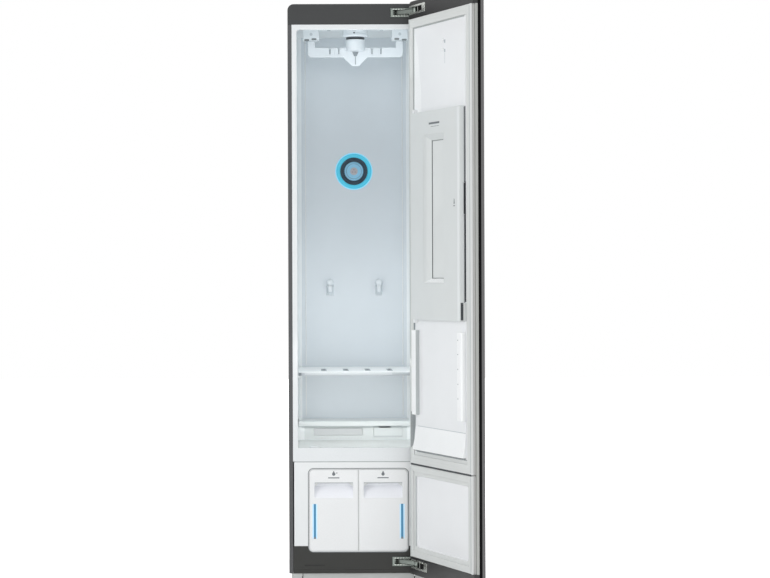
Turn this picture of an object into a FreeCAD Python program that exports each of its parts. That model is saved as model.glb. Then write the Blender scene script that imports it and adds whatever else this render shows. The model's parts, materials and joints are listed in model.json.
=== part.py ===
"""Clothes care steam cabinet: a tall, narrow wardrobe that steams, shakes and dries clothes.

The cabinet is modelled with its front plane at Y = 0, its centre plane at X = 0 and the floor at
Z = 0, +Y into the cabinet. The door is modelled closed and then swung open on its hinge arms. At the
end everything is shifted together, so that the origin is the centre of the whole footprint.
"""
import FreeCAD, Part
import math
import os
import re

import Sketcher

SIZES = {
    # case
    "cabinet_width": 445, "cabinet_depth": 542, "cabinet_height": 1850, "case_sheet": 1.2,
    "case_flange": 13, "corner_round": 20, "seat_gap": 0.3, "front_wall": 3, "front_rim_depth": 14,
    # opening of the clothes cavity
    "top_band": 66, "trim_width": 16, "trim_depth": 12, "ledge_bottom": 383, "opening_round": 10,
    "cavity_floor": 427, "ceiling_rise": 6, "cavity_depth": 430, "cavity_round": 25, "liner_wall": 3,
    # lower front and base
    "panel_gap": 2, "panel_side_gap": 3.5, "base_top": 112, "base_bottom": 24.6, "kick_bottom": 3,
    "kick_front": 4, "kick_thick": 4, "kick_split": 178, "kick_slit": 3, "kick_end_inset": 7.5,
    "kick_end_front": 2,
    "pan_wall": 1.5, "pan_rim": 20, "pan_front": 16,
    "slot_near": 108, "slot_far": 172, "slot_level": 51, "slot_tall": 4,
    "foot_radius": 18, "foot_pad": 8, "foot_stem": 5, "foot_inset": 47, "foot_front": 40,
    "foot_rear": 39,
    # tank bay and tanks
    "bay_half": 159.5, "bay_bottom": 93.6, "bay_top": 359.6, "bay_depth": 235, "bay_wall": 2.5,
    "bay_round": 15, "bay_reveal": 0.5, "rib_half": 1, "rib_front": 20, "tank_gap": 0.7,
    "tank_wall": 2.5, "tank_front": 28, "tank_length": 224, "tank_lid": 5, "tank_solid_foot": 20,
    "scoop_near": 17, "scoop_far": 141, "scoop_low": 266, "scoop_high": 316, "scoop_deep": 24,
    "scoop_brow": 12,
    "window_middle": 140, "window_width": 7.5, "window_low": 135, "window_high": 247,
    "window_deep": 2,
    # hinge
    "hinge_left": 108, "hinge_right": 179, "hinge_deep": 46, "hinge_tall": 30, "hinge_plate": 3,
    "upper_hinge_drop": 28.5, "lower_hinge": 62, "arm_pivot_across": 119.5,
    "arm_pivot_deep": 19.9,
    "door_pivot_across": 203, "door_pivot_deep": 19.5, "hinge_pin": 4, "pin_clearance": 0.05,
    "eye_radius": 8, "arm_width": 10, "arm_tall": 12, "hinge_play": 0.3, "bracket_plate": 2.5,
    "strap_left": 100, "strap_end": 22, "strap_gap": 17, "strap_hole": 4,
    "arm_pocket_reach": 48, "door_opening_angle": 112.4, "door_edge_across": 163,
    # door
    "door_gap": 1, "gasket_depth": 4, "door_liner_depth": 9, "edge_trim_depth": 12,
    "door_frame_depth": 13, "glass_thick": 4, "door_bottom": 28, "door_liner_low": 84,
    "door_liner_drop": 56, "liner_inset": 7.5, "edge_trim_width": 14, "door_split": 381,
    "split_gap": 2, "gasket_inset": 2, "gasket_width": 28, "lower_gasket_width": 20,
    "inner_margin_hinge": 42, "inner_margin_free": 38, "inner_low": 424,
    "inner_margin_top": 31,
    "sink_low": 120, "sink_high": 345, "sink_free": 32, "sink_deep": 6, "sink_round": 10,
    "drip_high": 503, "drip_play": 2, "drip_knee_rise": 33, "drip_knee": 3, "drip_proud": 9, "drip_wall": 3,
    "drip_lip": 6,
    "rail_width": 31, "rail_free_width": 33, "rail_low": 540, "rail_high": 807, "rail_proud": 14,
    "rail_round": 4,
    # trouser press on the door
    "press_hinge_margin": 12, "press_free_margin": 2, "press_low": 841, "press_high": 1490,
    "press_thick": 17.7, "press_wall": 2.5, "press_stile": 12, "press_plate": 2,
    "press_window_near": 112, "press_window_width": 118, "press_window_low": 955,
    "press_window_high": 1411, "finger_deep": 8, "finger_tall": 6.5, "finger_low": 1163, "finger_high": 1259,
    "press_pin": 3, "press_pin_clearance": 0.1, "press_pin_length": 10, "press_bracket_tall": 11,
    "press_bracket_proud": 13,
    # things in the cavity
    "hook_across": 83, "hook_block": 25, "hook_low": 909, "hook_high": 945, "hook_block_deep": 10,
    "hook_arm": 12, "hook_arm_drop": 24, "hook_reach": 27, "knob_level": 955, "knob_radius": 11,
    "knob_thick": 6,
    "shelf_top": 668, "shelf_tall": 11, "shelf_wall": 3, "shelf_front": 18, "shelf_rear_gap": 25,
    "shelf_play": 2.5, "shelf_slot": 13, "shelf_slot_length": 100, "shelf_slot_middle": 177,
    "shelf_slot_near": 36, "shelf_slot_far": 108, "support_reach": 8, "support_tall": 7,
    "support_wide": 20, "support_inset": 40,
    "ring_level": 1334, "ring_radius": 60, "bezel_radius": 46.5, "lens_radius": 33,
    "ring_proud": 4, "bezel_proud": 6, "lens_proud": 3, "ring_split": 0.2,
    "nozzle_across": 140, "nozzle_deep": 34, "nozzle_radius": 16, "nozzle_proud": 5,
    "nozzle_stem": 5,
    # module at the back of the cavity floor
    "module_deep": 130, "module_top": 490, "module_lip": 15, "module_lid": 15, "module_play": 1.5,
    "module_wall": 3, "filter_left": 141, "filter_right": 23, "filter_low": 442,
    "filter_high": 467, "filter_length": 50, "drawer_play": 0.5, "tray_left": 60,
    "tray_right": 157, "tray_low": 436, "tray_top_gap": 1, "tray_length": 95, "tray_wall": 2,
    "grip_left": 78,
    "grip_right": 117, "grip_deep": 9, "front_inset": 3,
    # hanger and its shaker
    "hanger_deep": 190, "hanger_half": 157, "hanger_drop": 22, "hanger_tall": 32,
    "hanger_thick": 12, "hanger_corner": 8, "hanger_arm": 24, "guide_tall": 38,
    "guide_inner": 120, "guide_outer": 172, "guide_deep": 36, "neck_width": 10, "neck_thick": 6,
    "head_thick": 18, "head_tall": 5, "neck_play": 1.5, "ledge_rise": 13.7, "shake_play": 17,
    "vee_top": 41, "vee_foot": 11, "vee_drop": 29, "notch_near": 55, "notch_far": 84,
    "notch_wide": 6, "notch_deep": 5,
    "cover_radius": 31.5, "cover_tall": 37, "cover_play": 2.5, "disc_radius": 30,
    "disc_thick": 5.5, "disc_play": 0.5, "flange_radius": 43, "flange_tall": 26.5,
    "crank_throw": 12, "crank_pin": 4, "crank_pin_play": 1, "crank_pin_reach": 15,
    "shaft_radius": 5, "shaft_hole": 8, "motor_radius": 32, "motor_tall": 42, "shaft_reach": 12,
    # control board above the ceiling
    "board_left": 170, "board_right": 60, "board_deep": 120, "board_rear_gap": 10, "board_rise": 5,
    "board_thick": 2, "board_post": 2.5, "board_chip": 14, "chip_count": 4, "chip_inset": 7,
    "chip_pitch": 28, "chip_margin": 28,
    # machine room: air duct, coils and fan
    "duct_half": 192, "duct_low": 240, "duct_wall": 2.5, "coil_deep": 40,
    "evaporator_left": 25, "condenser_left": -22, "coil_top": 420, "fin_thick": 1,
    "fin_count": 12, "coil_tube": 4, "coil_play": 0.5, "coil_rows": 4,
    "fan_left": 80, "fan_right": 186, "fan_radius": 48, "fan_tip_play": 6, "fan_wheel_start": 92,
    "fan_wheel_width": 56, "fan_wall": 2.5, "fan_inlet": 34, "fan_level": 318, "blade_thick": 2,
    "blade_deep": 16, "blade_count": 12, "fan_hub": 9, "fan_shaft": 4, "fan_motor_radius": 26,
    "fan_plate": 3,
    # compressor, steam generator, pumps and pipes
    "compressor_across": 120, "compressor_rear": 75, "compressor_radius": 60,
    "compressor_tall": 170, "compressor_foot": 12, "compressor_cap": 15, "compressor_cap_tall": 5,
    "compressor_lug": 10, "compressor_lug_tall": 24, "compressor_lug_across": 42,
    "boiler_left": 190, "boiler_right": 75, "boiler_deep": 80, "boiler_rear_gap": 14,
    "boiler_foot": 14, "boiler_tall": 130, "boiler_round": 8,
    "valve_across": 80, "valve_level": 112, "valve_radius": 8, "valve_length": 10,
    "pump_half": 24, "pump_front": 252, "pump_length": 46, "pump_tall": 46, "pump_round": 4,
    "hose_radius": 6, "hose_bend": 18, "hose_under": 218, "hose_over": 395,
    "pipe_radius": 4, "pipe_bend": 14, "pipe_play": 0.5, "pipe_reach": 40, "pressure_level": 300,
    "suction_level": 335, "liquid_level": 375, "liquid_reach": 22, "pressure_across": 100,
    "suction_across": 140,
    # mains inlet
    "inlet_across": 5, "inlet_level": 131, "inlet_half": 14, "inlet_half_tall": 11,
    "inlet_deep": 24, "inlet_flange": 6, "inlet_flange_thick": 1.5, "inlet_wall": 2,
    "vent_count": 9, "vent_pitch": 14, "vent_tall": 5, "vent_half": 90, "vent_low": 300,
}

doc = FreeCAD.newDocument("clothes_care_cabinet")
sheet = doc.addObject("Spreadsheet::Sheet", "sizes")
for row, (alias, value) in enumerate(SIZES.items(), 1):
    sheet.set(f"A{row}", alias)
    sheet.set(f"B{row}", str(value))
    sheet.setAlias(f"B{row}", alias)
doc.recompute()


def bound(text):
    """The expression with each alias spelt as a cell of the sheet."""
    def cell(word):
        return f"sizes.{word.group()}" if word.group() in SIZES else word.group()
    return re.sub(r"[a-z][a-z_]+", cell, str(text))


def measure(text):
    """The value of an expression, in millimetres."""
    return float(sheet.evalExpression(bound(text)))


AXIS_TURN = {
    "x": FreeCAD.Rotation(FreeCAD.Vector(0, 1, 0), 90),
    "y": FreeCAD.Rotation(FreeCAD.Vector(1, 0, 0), -90),
    "z": FreeCAD.Rotation(),
}
# plane: (origin plane, sign of its normal along the axis that it leaves out)
PLANES = {"xy": ("XY_Plane", 1), "xz": ("XZ_Plane", -1), "yz": ("YZ_Plane", 1)}
pieces = {}


class Piece:
    """A sub-part: a PartDesign body built from boxes, rods and outlines bound to the sheet."""

    def __init__(self, label, carrier="cabinet"):
        self.body = doc.addObject("PartDesign::Body", label)
        self.body.AllowCompound = True
        self.carrier = carrier
        self.count = 0
        pieces[label] = self

    def feature(self, kind, name):
        self.count += 1
        return self.body.newObject(f"PartDesign::{kind}", f"{self.body.Name}_{name}{self.count}")

    def box(self, x, y, z, cut=False):
        item = self.feature("SubtractiveBox" if cut else "AdditiveBox", "box")
        for side, axis, (low, high) in (("Length", "x", x), ("Width", "y", y), ("Height", "z", z)):
            item.setExpression(side, bound(f"({high}) - ({low})"))
            item.setExpression(f"Placement.Base.{axis}", bound(low))
        return item

    def rod(self, radius, axis, start, length, cut=False):
        item = self.feature("SubtractiveCylinder" if cut else "AdditiveCylinder", "rod")
        item.setExpression("Radius", bound(radius))
        item.setExpression("Height", bound(length))
        item.Placement.Rotation = AXIS_TURN[axis]
        for name, value in zip("xyz", start):
            item.setExpression(f"Placement.Base.{name}", bound(value))
        return item

    def outline(self, plane, points, span, cut=False):
        """A straight-sided outline on an origin plane, padded or pocketed over span."""
        role, sign = PLANES[plane]
        sketch = self.body.newObject("Sketcher::SketchObject", f"{self.body.Name}_sketch{self.count}")
        origin_plane = next(item for item in self.body.Origin.OriginFeatures if item.Role == role)
        sketch.AttachmentSupport = [(origin_plane, "")]
        sketch.MapMode = "FlatFace"
        low, high = span
        # a pad grows along the normal and a pocket cuts against it
        start = low if (sign > 0) != cut else high
        sketch.setExpression("AttachmentOffset.Base.z", bound(f"{sign} * ({start})"))
        corners = [FreeCAD.Vector(measure(across), measure(up), 0) for across, up in points]
        for index, corner in enumerate(corners):
            sketch.addGeometry(Part.LineSegment(corner, corners[(index + 1) % len(corners)]))
        for index in range(len(corners)):
            following = (index + 1) % len(corners)
            sketch.addConstraint(Sketcher.Constraint("Coincident", index, 2, following, 1))
        for index, (point, corner) in enumerate(zip(points, corners)):
            for kind, text, value in zip(("DistanceX", "DistanceY"), point, corner):
                place = sketch.addConstraint(Sketcher.Constraint(kind, -1, 1, index, 1, value))
                sketch.setExpression(f"Constraints[{place}]", bound(text))
        doc.recompute()
        item = self.feature("Pocket" if cut else "Pad", "outline")
        item.Profile = sketch
        item.setExpression("Length", bound(f"({high}) - ({low})"))
        return item

    def round(self, radius, axis, **places):
        """Rounds the straight edges along axis that lie at the given places, such as x=[...]."""
        doc.recompute()
        wanted = {name: [measure(text) for text in texts] for name, texts in places.items()}
        chosen = []
        for number, edge in enumerate(self.body.Tip.Shape.Edges, 1):
            if edge.Curve.TypeId != "Part::GeomLine":
                continue
            if not math.isclose(abs(getattr(edge.tangentAt(edge.FirstParameter), axis)), 1):
                continue
            middle = edge.CenterOfMass
            if all(any(math.isclose(getattr(middle, name), value, abs_tol=1e-6) for value in values)
                   for name, values in wanted.items()):
                chosen.append(f"Edge{number}")
        if not chosen:
            raise ValueError(f"{self.body.Label}: no edge to round along {axis}")
        base = self.body.Tip
        item = self.feature("Fillet", "round")
        item.Base = (base, chosen)
        item.setExpression("Radius", bound(radius))
        return item

    def copies(self, item, axis, count):
        """Repeats a feature evenly around one of the body's own axes."""
        doc.recompute()
        role = {"x": "X_Axis", "y": "Y_Axis", "z": "Z_Axis"}[axis]
        line = next(part for part in self.body.Origin.OriginFeatures if part.Role == role)
        pattern = self.feature("PolarPattern", "copies")
        pattern.Originals = [item]
        pattern.Axis = (line, [""])
        pattern.Angle = 360
        pattern.setExpression("Occurrences", bound(count))
        self.body.Tip = pattern
        return pattern

    def place(self, *position):
        """Moves the whole body, which was modelled about its own axes, to its place."""
        self.body.Placement.Base = FreeCAD.Vector(*[measure(text) for text in position])


class Tube(Piece):
    """Bent tubes of one size, swept along straight runs joined by tangent arcs."""

    def __init__(self, label, carrier="cabinet"):
        self.body = doc.addObject("Part::Feature", label)
        self.carrier = carrier
        self.solids = []
        pieces[label] = self

    def run(self, radius, bend, route):
        corners = [FreeCAD.Vector(*[measure(text) for text in point]) for point in route]
        bend = measure(bend)
        edges = []
        start = corners[0]
        for before, corner, after in zip(corners, corners[1:], corners[2:]):
            arriving = (corner - before).normalize()
            leaving = (after - corner).normalize()
            first = corner - arriving * bend
            last = corner + leaving * bend
            centre = first + leaving * bend
            middle = centre + (corner - centre).normalize() * bend
            edges.append(Part.LineSegment(start, first).toShape())
            edges.append(Part.Arc(first, middle, last).toShape())
            start = last
        edges.append(Part.LineSegment(start, corners[-1]).toShape())
        path = Part.Wire(edges)
        direction = corners[1] - corners[0]
        ring = Part.Wire([Part.makeCircle(measure(radius), corners[0], direction)])
        self.solids.append(path.makePipeShell([ring], True, False))
        self.body.Shape = Part.makeCompound(self.solids)


def both(low, high, sign):
    """A span on the right side for sign 1, or its mirror image on the left side for sign -1."""
    return (low, high) if sign > 0 else (f"-({high})", f"-({low})")


def about(middle, half):
    return f"({middle}) - ({half})", f"({middle}) + ({half})"


HALF = "cabinet_width / 2"
TRIM_HALF = f"({HALF} - case_flange)"
OPEN_HALF = f"({HALF} - case_flange - trim_width)"
PANEL_HALF = f"({TRIM_HALF} - panel_side_gap)"
BACK_PLANE = "(cabinet_depth - case_sheet)"
LINER_FLOOR = "(cavity_floor - liner_wall)"
PAN_TOP = "(base_bottom + pan_wall)"
MODULE_FRONT = "(cavity_depth - module_deep)"
SHELF_REAR = "(cavity_depth - shelf_rear_gap)"
TRIM_TOP = "(cabinet_height - top_band)"
CEILING = f"({TRIM_TOP} + ceiling_rise)"
LINER_ROOF = f"({CEILING} + liner_wall)"
UPPER_HINGE = "(cabinet_height - upper_hinge_drop)"
HINGE_LEVELS = (UPPER_HINGE, "lower_hinge")
SIDES = (-1, 1)


# ---------------------------------------------------------------- case
def make_side_panels():
    panels = Piece("side_panels")
    for side in SIDES:
        height = ("base_bottom", TRIM_TOP)
        panels.box(both(f"{HALF} - case_sheet", HALF, side), (0, BACK_PLANE), height)
        panels.box(both(TRIM_HALF, HALF, side), (0, "case_sheet"), height)


def make_top_cover():
    cover = Piece("top_cover")
    depth = ("trim_depth", BACK_PLANE)
    inner_top = "cabinet_height - case_sheet"
    inner_half = f"{HALF} - case_sheet"
    cover.box((f"-{HALF}", HALF), depth, (TRIM_TOP, "cabinet_height"))
    cover.box((f"-({inner_half})", inner_half), depth, (TRIM_TOP, inner_top), cut=True)
    cover.round("corner_round - case_sheet", "y", x=[f"-({inner_half})", inner_half], z=[inner_top])
    cover.round("corner_round", "y", x=[f"-{HALF}", HALF], z=["cabinet_height"])


def make_back_cover():
    cover = Piece("back_cover")
    depth = (BACK_PLANE, "cabinet_depth")
    cover.box((f"-{HALF}", HALF), depth, ("base_bottom", "cabinet_height"))
    cover.round("corner_round", "y", x=[f"-{HALF}", HALF], z=["cabinet_height"])
    for index in range(int(measure("vent_count"))):
        low = f"vent_low + {index} * vent_pitch"
        cover.box(("-vent_half", "vent_half"), depth, (low, f"{low} + vent_tall"), cut=True)
    cover.box(about("inlet_across", "inlet_half + seat_gap"), depth,
              about("inlet_level", "inlet_half_tall + seat_gap"), cut=True)


def make_top_front_frame():
    frame = Piece("top_front_frame")
    frame.box((f"-{HALF}", HALF), (0, "trim_depth"), (TRIM_TOP, "cabinet_height"))
    frame.round("corner_round", "y", x=[f"-{HALF}", HALF], z=["cabinet_height"])
    frame.box((f"-({HALF} - corner_round)", f"{HALF} - corner_round"),
              ("front_wall", "trim_depth"),
              (f"{TRIM_TOP} + front_wall", "cabinet_height - front_wall"), cut=True)
    cut_hinge_window(frame, UPPER_HINGE)


def cut_hinge_window(piece, level):
    piece.box(("hinge_left - seat_gap", "hinge_right + seat_gap"), (0, "front_rim_depth"),
              about(level, "hinge_tall / 2 + seat_gap"), cut=True)


def make_front_trim():
    trim = Piece("front_trim")
    depth = (0, "trim_depth")
    trim.box((f"-{TRIM_HALF}", TRIM_HALF), depth, ("ledge_bottom", TRIM_TOP))
    opening_top = f"{TRIM_TOP} - trim_width"
    trim.box((f"-{OPEN_HALF}", OPEN_HALF), depth, ("cavity_floor", opening_top), cut=True)
    trim.round("opening_round", "y", x=[f"-{OPEN_HALF}", OPEN_HALF], z=[opening_top])


def make_inner_liner():
    liner = Piece("inner_liner")
    outer = f"{OPEN_HALF} + liner_wall"
    rear = "cavity_depth + liner_wall"
    liner.box((f"-({outer})", outer), ("trim_depth", rear), (LINER_FLOOR, LINER_ROOF))
    liner.box((f"-{OPEN_HALF}", OPEN_HALF), ("trim_depth", "cavity_depth"),
              ("cavity_floor", CEILING), cut=True)
    liner.round("cavity_round", "z", x=[f"-{OPEN_HALF}", OPEN_HALF], y=["cavity_depth"])
    liner.round("cavity_round + liner_wall", "z", x=[f"-({outer})", outer], y=[rear])
    liner.rod("shaft_hole", "z", (0, "hanger_deep", CEILING), "liner_wall", cut=True)
    liner.rod("nozzle_stem + seat_gap", "z", ("-nozzle_across", "nozzle_deep", LINER_FLOOR),
              "liner_wall", cut=True)
    floor_span = (LINER_FLOOR, "cavity_floor")
    duct_depth = (f"{MODULE_FRONT} + module_wall", "cavity_depth - cavity_round")
    liner.box(("-filter_left", "filter_right"), duct_depth, floor_span, cut=True)
    liner.box(("tray_left", "tray_right"), duct_depth, floor_span, cut=True)
    for side in SIDES:
        for front in ("shelf_front + support_inset", f"{SHELF_REAR} - support_inset - support_wide"):
            under = "shelf_top - shelf_tall"
            liner.box(both(f"{OPEN_HALF} - support_reach", OPEN_HALF, side),
                      (front, f"{front} + support_wide"), (f"{under} - support_tall", under))


def make_lower_front_panel():
    panel = Piece("lower_front_panel")
    top = "ledge_bottom - panel_gap"
    panel.box((f"-{PANEL_HALF}", PANEL_HALF), (0, "front_rim_depth"), ("base_top", top))
    panel.box((f"-({PANEL_HALF} - front_wall)", f"{PANEL_HALF} - front_wall"),
              ("front_wall", "front_rim_depth"), ("base_top", f"{top} - front_wall"), cut=True)
    notch = "bay_half + bay_reveal"
    panel.box((f"-({notch})", notch), (0, "front_rim_depth"),
              ("base_top", "bay_top + bay_reveal"), cut=True)
    panel.round("bay_round + bay_reveal", "y", x=[f"-({notch})", notch], z=["bay_top + bay_reveal"])


def make_base_front_cover():
    cover = Piece("base_front_cover")
    depth = (0, "front_rim_depth")
    cover.box((f"-({TRIM_HALF} - seat_gap)", f"{TRIM_HALF} - seat_gap"), depth,
              ("base_bottom", "base_top - seat_gap"))
    notch = "bay_half + bay_reveal"
    cover.box((f"-({notch})", notch), depth, ("bay_bottom - bay_reveal", "base_top"), cut=True)
    cover.round("bay_round + bay_reveal", "y", x=[f"-({notch})", notch],
                z=["bay_bottom - bay_reveal"])
    inner = f"{TRIM_HALF} - front_wall"
    cover.box((f"-({inner})", inner), ("front_wall", "front_rim_depth"),
              ("base_bottom + front_wall", "bay_bottom - bay_reveal - front_wall"), cut=True)
    cover.box(("-slot_far", "-slot_near"), depth, about("slot_level", "slot_tall / 2"), cut=True)
    cut_hinge_window(cover, "lower_hinge")


def make_base():
    pan = Piece("base_pan")
    half = f"{HALF} - case_sheet - seat_gap"
    rear = f"{BACK_PLANE} - seat_gap"
    pan.box((f"-({half})", half), ("pan_front", rear), ("base_bottom", "base_bottom + pan_rim"))
    pan.box((f"-({half} - pan_wall)", f"{half} - pan_wall"),
            ("pan_front + pan_wall", f"{rear} - pan_wall"),
            (PAN_TOP, "base_bottom + pan_rim"), cut=True)
    kick = Piece("kick_plate")
    depth = ("kick_front", "kick_front + kick_thick")
    height = ("kick_bottom", "base_bottom")
    kick.box(("-kick_split", "kick_split"), depth, height)
    for side in SIDES:
        kick.box(both("kick_split + kick_slit", f"{HALF} - kick_end_inset", side),
                 ("kick_end_front", "kick_front + kick_thick"), height)
    feet = Piece("levelling_feet")
    for side in SIDES:
        across = f"{side} * ({HALF} - foot_inset)"
        for deep in ("foot_front", "cabinet_depth - foot_rear"):
            feet.rod("foot_radius", "z", (across, deep, 0), "foot_pad")
            feet.rod("foot_stem", "z", (across, deep, "foot_pad"), "base_bottom - foot_pad")


# ---------------------------------------------------------------- tanks
TANK_NEAR = "(rib_half + tank_gap)"
TANK_FAR = "(bay_half - bay_wall - tank_gap)"
TANK_LOW = "(bay_bottom + bay_wall + tank_gap)"
TANK_HIGH = "(bay_top - bay_wall - tank_gap)"


def make_tank_bay():
    bay = Piece("tank_bay")
    depth = (0, "bay_depth")
    bay.box(("-bay_half", "bay_half"), depth, ("bay_bottom", "bay_top"))
    inner = "bay_half - bay_wall"
    low = "bay_bottom + bay_wall"
    high = "bay_top - bay_wall"
    bay.box((f"-({inner})", inner), (0, "bay_depth - bay_wall"), (low, high), cut=True)
    bay.round("bay_round - bay_wall", "y", x=[f"-({inner})", inner], z=[low, high])
    bay.round("bay_round", "y", x=["-bay_half", "bay_half"], z=["bay_bottom", "bay_top"])
    bay.box(("-rib_half", "rib_half"), ("rib_front", "bay_depth - bay_wall"), (low, high))
    for side in SIDES:
        bay.rod("valve_radius", "y", (f"{side} * valve_across", "bay_depth", "valve_level"),
                "valve_length")


def make_tank(name, side):
    tank = Piece(f"{name}_tank", f"{name}_tank")
    lid_low = f"{TANK_HIGH} - tank_lid"
    corner = "bay_round - bay_wall - tank_gap"
    far = f"{side} * {TANK_FAR}"
    across = both(TANK_NEAR, TANK_FAR, side)
    tank.box(across, (0, "tank_length"), (TANK_LOW, TANK_HIGH))
    tank.box(both(f"{TANK_NEAR} + tank_wall", f"{TANK_FAR} - tank_wall", side),
             ("tank_front", "tank_length - tank_wall"), (f"{TANK_LOW} + tank_wall", lid_low), cut=True)
    tank.round(f"{corner} - tank_wall", "y", x=[f"{side} * ({TANK_FAR} - tank_wall)"],
               z=[f"{TANK_LOW} + tank_wall"])
    tank.round(corner, "y", x=[far], z=[TANK_LOW, TANK_HIGH])
    # the lid lies on the walls behind the front
    behind_front = ("tank_front", "tank_length")
    tank.box(across, behind_front, (lid_low, TANK_HIGH), cut=True)
    # the front is hollow above and below the scoop
    behind = ("tank_wall + window_deep", "tank_front")
    tank.box(both("scoop_near", "scoop_far - window_width", side), behind,
             (f"{TANK_LOW} + tank_solid_foot", "scoop_low - tank_wall"), cut=True)
    tank.outline("yz", [(0, "scoop_low"), (0, "scoop_high"), ("scoop_deep", "scoop_high"),
                        ("scoop_deep", "scoop_high - scoop_brow")],
                 both("scoop_near", "scoop_far", side), cut=True)
    window = (both("window_middle - window_width / 2", "window_middle + window_width / 2", side),
              (0, "window_deep"), ("window_low", "window_high"))
    tank.box(*window, cut=True)
    strip = Piece(f"{name}_level_window", f"{name}_tank")
    strip.box(*window)
    lid = Piece(f"{name}_tank_lid", f"{name}_tank")
    lid.box(across, behind_front, (TANK_LOW, TANK_HIGH))
    lid.round(corner, "y", x=[far], z=[TANK_HIGH])
    lid.box(across, behind_front, (TANK_LOW, lid_low), cut=True)


# ---------------------------------------------------------------- hinges
def hinge_geometry():
    """Arm pivot, door pivot closed and open, door turn and arm angle, in the cabinet's plan view."""
    arm_pivot = FreeCAD.Vector(measure("arm_pivot_across"), measure("arm_pivot_deep"), 0)
    closed = FreeCAD.Vector(measure("door_pivot_across"), -measure("door_pivot_deep"), 0)
    swing = FreeCAD.Rotation(FreeCAD.Vector(0, 0, 1), measure("door_opening_angle"))
    edge = FreeCAD.Vector(measure(f"{HALF} - liner_inset"), -measure("door_gap"), 0)
    across = measure("door_edge_across") - swing.multVec(edge - closed).x
    length = (closed - arm_pivot).Length
    deep = arm_pivot.y - math.sqrt(length ** 2 - (across - arm_pivot.x) ** 2)
    opened = FreeCAD.Vector(across, deep, 0)
    reach = opened - arm_pivot
    return arm_pivot, closed, opened, swing, math.degrees(math.atan2(reach.y, reach.x))


def make_hinges():
    boxes = Piece("hinge_boxes")
    for level in HINGE_LEVELS:
        height = about(level, "hinge_tall / 2")
        boxes.box(("hinge_left", "hinge_right"), (0, "hinge_deep"), height)
        boxes.box(("hinge_left + pan_wall", "hinge_right - pan_wall"), (0, "hinge_deep - pan_wall"),
                  about(level, "hinge_tall / 2 - hinge_plate"), cut=True)
        boxes.rod("hinge_pin", "z", ("arm_pivot_across", "arm_pivot_deep",
                                     f"{level} - hinge_tall / 2"), "hinge_tall")
    arms = Piece("hinge_arms", "hinge_arms")
    arm_length = "sqrt((door_pivot_across - arm_pivot_across) ^ 2" \
                 " + (door_pivot_deep + arm_pivot_deep) ^ 2)"
    eye_half = "hinge_tall / 2 - hinge_plate - hinge_play"
    bore = "hinge_pin + pin_clearance"
    for level in HINGE_LEVELS:
        arms.box((0, arm_length), about(0, "arm_width / 2"), about(level, "arm_tall / 2"))
        for end in (0, arm_length):
            arms.rod("eye_radius", "z", (end, 0, f"{level} - ({eye_half})"), f"2 * ({eye_half})")
        for end in (0, arm_length):
            arms.rod(bore, "z", (end, 0, f"{level} - ({eye_half})"), f"2 * ({eye_half})", cut=True)
    brackets = Piece("door_hinge_brackets", "door")
    span = about("door_pivot_across", "eye_radius")
    behind = "-(door_pivot_deep + eye_radius + door_gap)"
    total = "hinge_tall / 2 - hinge_play - seat_gap"
    strap_front = f"bracket_plate - {GASKET_FRONT}"
    for level in HINGE_LEVELS:
        brackets.box(span, (f"{behind} - bracket_plate", strap_front), about(level, total))
        brackets.box(span, (behind, strap_front), about(level, "hinge_tall / 2 - hinge_plate"),
                     cut=True)
        brackets.box(("strap_left", span[1]), (f"-{GASKET_FRONT}", strap_front),
                     about(level, total))
        brackets.box(("strap_left + strap_end", span[1]), (f"-{GASKET_FRONT}", strap_front),
                     about(level, "strap_gap / 2"), cut=True)
        brackets.rod("strap_hole", "y", ("strap_left + strap_end / 2", f"-{GASKET_FRONT}", level),
                     "bracket_plate", cut=True)
        brackets.rod("hinge_pin", "z", ("door_pivot_across", "-door_pivot_deep",
                                        f"{level} - ({total})"), f"2 * ({total})")


# ---------------------------------------------------------------- door
GASKET_FRONT = "(door_gap + gasket_depth)"
LINER_FRONT = f"({GASKET_FRONT} + door_liner_depth)"
TRIM_FRONT = f"({LINER_FRONT} + edge_trim_depth)"
FRAME_FRONT = f"({TRIM_FRONT} + door_frame_depth)"
DOOR_FRONT = f"({FRAME_FRONT} + glass_thick)"
LINER_HALF = f"({HALF} - liner_inset)"
LINER_HIGH = "(cabinet_height - door_liner_drop)"
INNER_RIGHT = f"({LINER_HALF} - inner_margin_hinge)"
INNER_LEFT = f"(-{LINER_HALF} + inner_margin_free)"


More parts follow.
